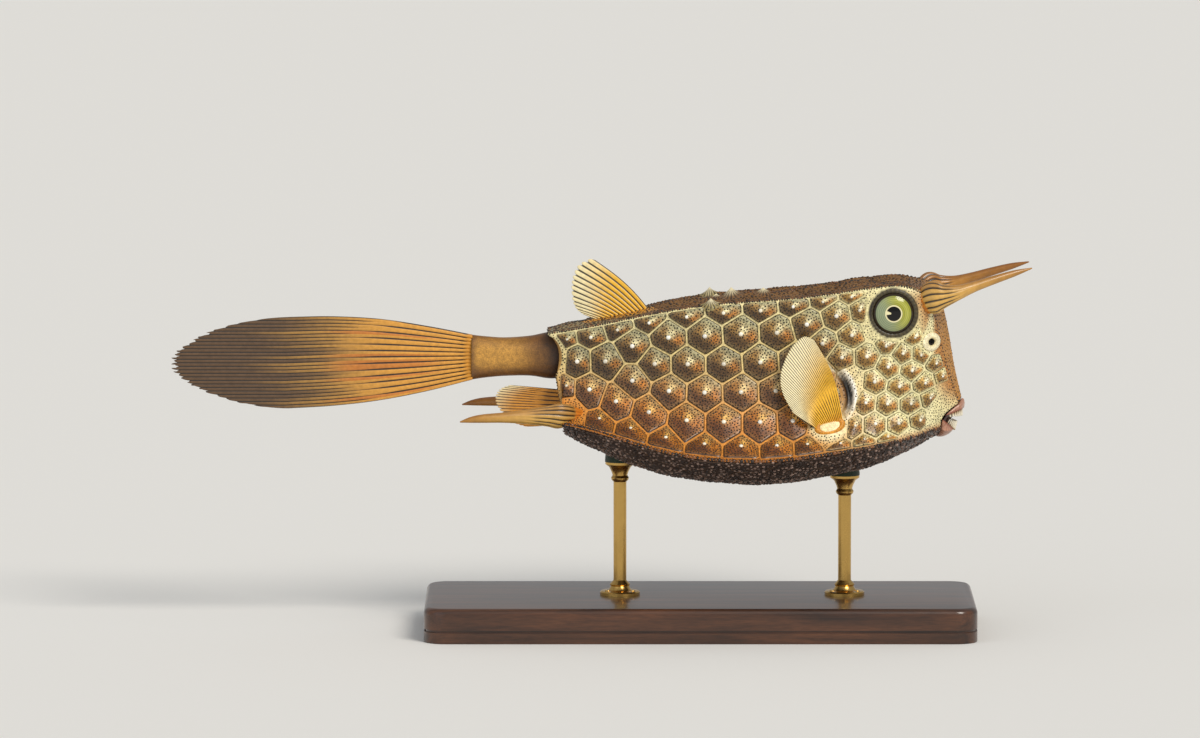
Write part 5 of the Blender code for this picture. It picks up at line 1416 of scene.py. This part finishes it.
def woodenBase():
    bpy.ops.mesh.primitive_cube_add(size=1, location=(stand["middleX"] * mm, 0, stand["height"] / 2 * mm))
    base = bpy.context.object
    base.name = "wooden_base"
    base.scale = (stand["length"] * mm, stand["width"] * mm, stand["height"] * mm)
    bpy.ops.object.transform_apply(location=True, rotation=True, scale=True)
    bpy.ops.object.mode_set(mode="EDIT")
    pick(base, "EDGE", lambda edge: abs(edge.verts[0].co.z - edge.verts[1].co.z) > mm)
    bpy.ops.mesh.bevel(offset=stand["corner"] * mm, segments=12, affect="EDGES")
    for height in stand["groove"]:
        bpy.ops.mesh.select_all(action="SELECT")
        bpy.ops.mesh.bisect(plane_co=(0, 0, height * mm), plane_no=(0, 0, 1))
    low, high = stand["groove"]
    pick(base, "FACE", lambda face: abs(face.normal.z) < 0.5
         and low < face.calc_center_median().z / mm < high)
    bpy.ops.mesh.inset(thickness=0.0, depth=-stand["grooveDepth"] * mm, use_even_offset=True)
    for height, offset, segments in ((stand["height"], stand["edge"], 6), (0.0, stand["footEdge"], 2)):
        pick(base, "EDGE", lambda edge: max(abs(end.co.z / mm - height) for end in edge.verts) < 0.05
             and any(abs(face.normal.z) < 0.5 for face in edge.link_faces))
        bpy.ops.mesh.bevel(offset=offset * mm, segments=segments, affect="EDGES")
    bpy.ops.object.mode_set(mode="OBJECT")
    base.data.shade_smooth()
    base.data.set_sharp_from_angle(angle=math.radians(30))
    return base


def lacqueredWood():
    # dark lacquered hardwood, its grain running along the base: bands 5 mm apart and 0.45 mm pores
    material, tree, shader = newMaterial("lacqueredWalnut", {"Roughness": 0.32, "Coat Weight": 0.35,
                                                             "Coat Roughness": 0.12})
    place = addNode(tree, "ShaderNodeTexCoord")
    drawn = addNode(tree, "ShaderNodeMapping", {"Scale": (0.09, 1.0, 1.0)}, {"Vector": (place, "Object")})
    bands = texture(tree, "Noise", 5, (drawn, "Vector"), Detail=5.0, Distortion=0.6)
    pores = (texture(tree, "Noise", 0.45, (drawn, "Vector"), Detail=2.0), "Fac")
    ramp = addNode(tree, "ShaderNodeValToRGB", {}, {"Fac": (bands, "Fac")})
    for stop, position, text in zip(ramp.color_ramp.elements, (0.32, 0.68), ("#2a170d", "#5c3720")):
        stop.position, stop.color = position, (*tone(text), 1)
    colour = multiplied(tree, ramp.outputs["Color"], stretched(tree, pores, 0.35, 0.6, 0.72, 1.0))
    tree.links.new(colour, shader.inputs["Base Color"])
    roughened(tree, shader, pores, 0.08)
    return material


def brassFinish():
    brass = {"Metallic": 1.0, "Base Color": (*tone("#c8a25c"), 1)}
    material, tree, shader = newMaterial("polishedBrass", brass)
    wear = texture(tree, "Noise", 6, (addNode(tree, "ShaderNodeTexCoord"), "Object"), Detail=4.0)
    tree.links.new(stretched(tree, (wear, "Fac"), 0.3, 0.7, 0.18, 0.32), shader.inputs["Roughness"])
    return material


def feltFinish():
    material, tree, shader = newMaterial("greenFelt", {"Roughness": 0.95, "Base Color": (*tone("#2c3a2c"), 1),
                                                       "Sheen Weight": 0.4})
    fuzz = texture(tree, "Noise", 0.3, (addNode(tree, "ShaderNodeTexCoord"), "Object"), Detail=3.0)
    roughened(tree, shader, (fuzz, "Fac"), 0.5)
    return material


def spun(name, profile, x, steps=64):
    # turned piece from (radius, height) points round the upright line at x
    bpy.ops.object.select_all(action="DESELECT")
    mesh = bpy.data.meshes.new(name)
    mesh.from_pydata([((x + r) * mm, 0, z * mm) for r, z in profile],
                     [(i, i + 1) for i in range(len(profile) - 1)], [])
    piece = bpy.data.objects.new(name, mesh)
    bpy.context.scene.collection.objects.link(piece)
    bpy.context.view_layer.objects.active = piece
    piece.select_set(True)
    bpy.ops.object.mode_set(mode="EDIT")
    bpy.ops.mesh.select_all(action="SELECT")
    bpy.ops.mesh.spin(steps=steps, angle=2 * math.pi, center=(x * mm, 0, 0), axis=(0, 0, 1))
    bpy.ops.mesh.select_all(action="SELECT")
    bpy.ops.mesh.remove_doubles(threshold=0.002 * mm)
    bpy.ops.mesh.normals_make_consistent(inside=False)
    bpy.ops.object.mode_set(mode="OBJECT")
    piece.data.shade_smooth()
    piece.data.set_sharp_from_angle(angle=math.radians(35))
    return piece


def screwForm():
    # countersunk screw head with a straight slot
    bpy.ops.mesh.primitive_cylinder_add(vertices=32, radius=stand["screwRadius"] * mm,
                                        depth=stand["screwHeight"] * mm)
    screw = bpy.context.object
    applied(screw, "BEVEL", width=0.16 * mm, segments=2, limit_method="ANGLE")
    bpy.ops.mesh.primitive_cube_add(size=1)
    slot = bpy.context.object
    length, width, depth = (size * mm for size in stand["screwSlot"])
    slot.data.transform(Matrix.Translation((0, 0, stand["screwHeight"] / 2 * mm))
                        @ Matrix.Diagonal((length, width, depth, 1)))
    applied(screw, "BOOLEAN", operation="DIFFERENCE", solver="EXACT", object=slot)
    bpy.data.objects.remove(slot)
    screw.data.shade_smooth()
    screw.data.set_sharp_from_angle(angle=math.radians(30))
    return screw


def rodProfile(foot, belly):
    # (radius, height) points of a rod with a flange on the base and a cup under the belly
    shaft, flange, pad = stand["rodRadius"], stand["flange"], stand["pad"]
    low = ((0, 0), (flange, 0), (flange, 1.2), (flange - 0.5, 1.7), (flange - 3.4, 2.1), (shaft + 1.6, 2.6),
           (shaft + 1.1, 3.6), (shaft + 1.5, 4.3), (shaft + 0.9, 5.0), (shaft, 6.0))
    high = ((shaft, -10.0), (shaft + 0.8, -9.2), (shaft + 1.0, -8.4), (shaft + 0.4, -7.4),
            (shaft + 0.8, -6.0), (pad - 1.6, -4.0), (pad - 0.1, -2.9), (pad - 0.1, -2.0), (0, -2.0))
    return [(r, foot + z) for r, z in low] + [(r, belly + z) for r, z in high]


def feltPad(name, belly, x):
    # pad on a rod, its top laid against the belly
    pad = stand["pad"]
    cushion = spun(name, ((0, belly - 1.95), (pad, belly - 1.95), (pad, belly - 1.0), (pad - 0.3, belly),
                          (pad * 0.6, belly), (pad * 0.3, belly), (0, belly)), x)
    for vertex in cushion.data.vertices:
        if vertex.co.z / mm > belly - 0.5:
            spot = castBelly(vertex.co.x / mm, vertex.co.y / mm)[0]
            vertex.co.z = (spot.z + 0.1) * mm
    return cushion


brass, felt = brassFinish(), feltFinish()
settle(woodenBase(), lacqueredWood(), "stand_wood", "stand_base")
screw = screwForm()
for side, x in zip(("rear", "front"), rodPlaces):
    foot, belly = stand["height"] + 0.05, float(np.interp(x, *zip(*shellLines["midBelly"]))) + lift
    settle(spun(f"brass_rod_{side}", rodProfile(foot, belly), x), brass, "stand_brass", f"stand_rod_{side}")
    settle(feltPad(f"felt_pad_{side}", belly, x), felt, "stand_brass")
    for k in range(3):
        angle = math.radians(90 + 120 * k)
        spot = Vector((x + stand["screwCircle"] * math.cos(angle), stand["screwCircle"] * math.sin(angle),
                       foot + 1.72)) * mm
        head = screw.copy()
        head.data = screw.data.copy()
        head.name = f"screw_{side}_{k}"
        head.data.transform(Matrix.Translation(spot) @ Matrix.Rotation(angle * 1.7, 4, "Z"))
        bpy.context.scene.collection.objects.link(head)
        settle(head, brass, "stand_brass")
bpy.data.objects.remove(screw)
print("stand done")

# Floor, light and camera
stage = {"floor": "#ecebe8", "floorSize": 60.0, "distance": 4.0, "elevation": 6.0, "target": 0.105,
         "lens": 300.0}
bpy.ops.mesh.primitive_plane_add(size=stage["floorSize"])
floor = bpy.context.object
floor.name = "studio_floor"
floor.data.materials.append(newMaterial("mattPaperSweep", {
    "Roughness": 0.95, "Base Color": (*tone(stage["floor"]), 1), "Specular IOR Level": 0.2})[0])
floor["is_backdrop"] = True
world = bpy.data.worlds.new("studio")
world.use_nodes = True
world.node_tree.nodes["Background"].inputs["Color"].default_value = (*tone("#eceeef"), 1)
world.node_tree.nodes["Background"].inputs["Strength"].default_value = 0.5
bpy.context.scene.world = world
for name, towards, power, softness, colour in (("key", (0.55, -0.85, 0.8), 2.2, 25, "#fff9f0"),
                                               ("fill", (-0.8, -0.9, 0.45), 0.35, 60, "#e8f0ff")):
    bpy.ops.object.light_add(type="SUN", location=Vector(towards) * 3)
    lamp = bpy.context.object
    lamp.name = name
    lamp.data.energy = power
    lamp.data.angle = math.radians(softness)
    lamp.data.color = tone(colour)
    lamp.rotation_euler = (-Vector(towards)).to_track_quat("-Z", "Y").to_euler()
lean = math.radians(stage["elevation"])
bpy.ops.object.camera_add(location=(0, -stage["distance"] * math.cos(lean),
                                    stage["target"] + stage["distance"] * math.sin(lean)),
                          rotation=(math.pi / 2 - lean, 0, 0))
camera = bpy.context.object
camera.data.lens = stage["lens"]
camera.data.clip_start = 0.05
bpy.context.scene.camera = camera
bpy.context.scene.view_settings.view_transform = "Standard"

sizes = {"cad": [list(c) for c in cadCorners], "visual": [list(c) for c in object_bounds()]}
print("sizes:", sizes)
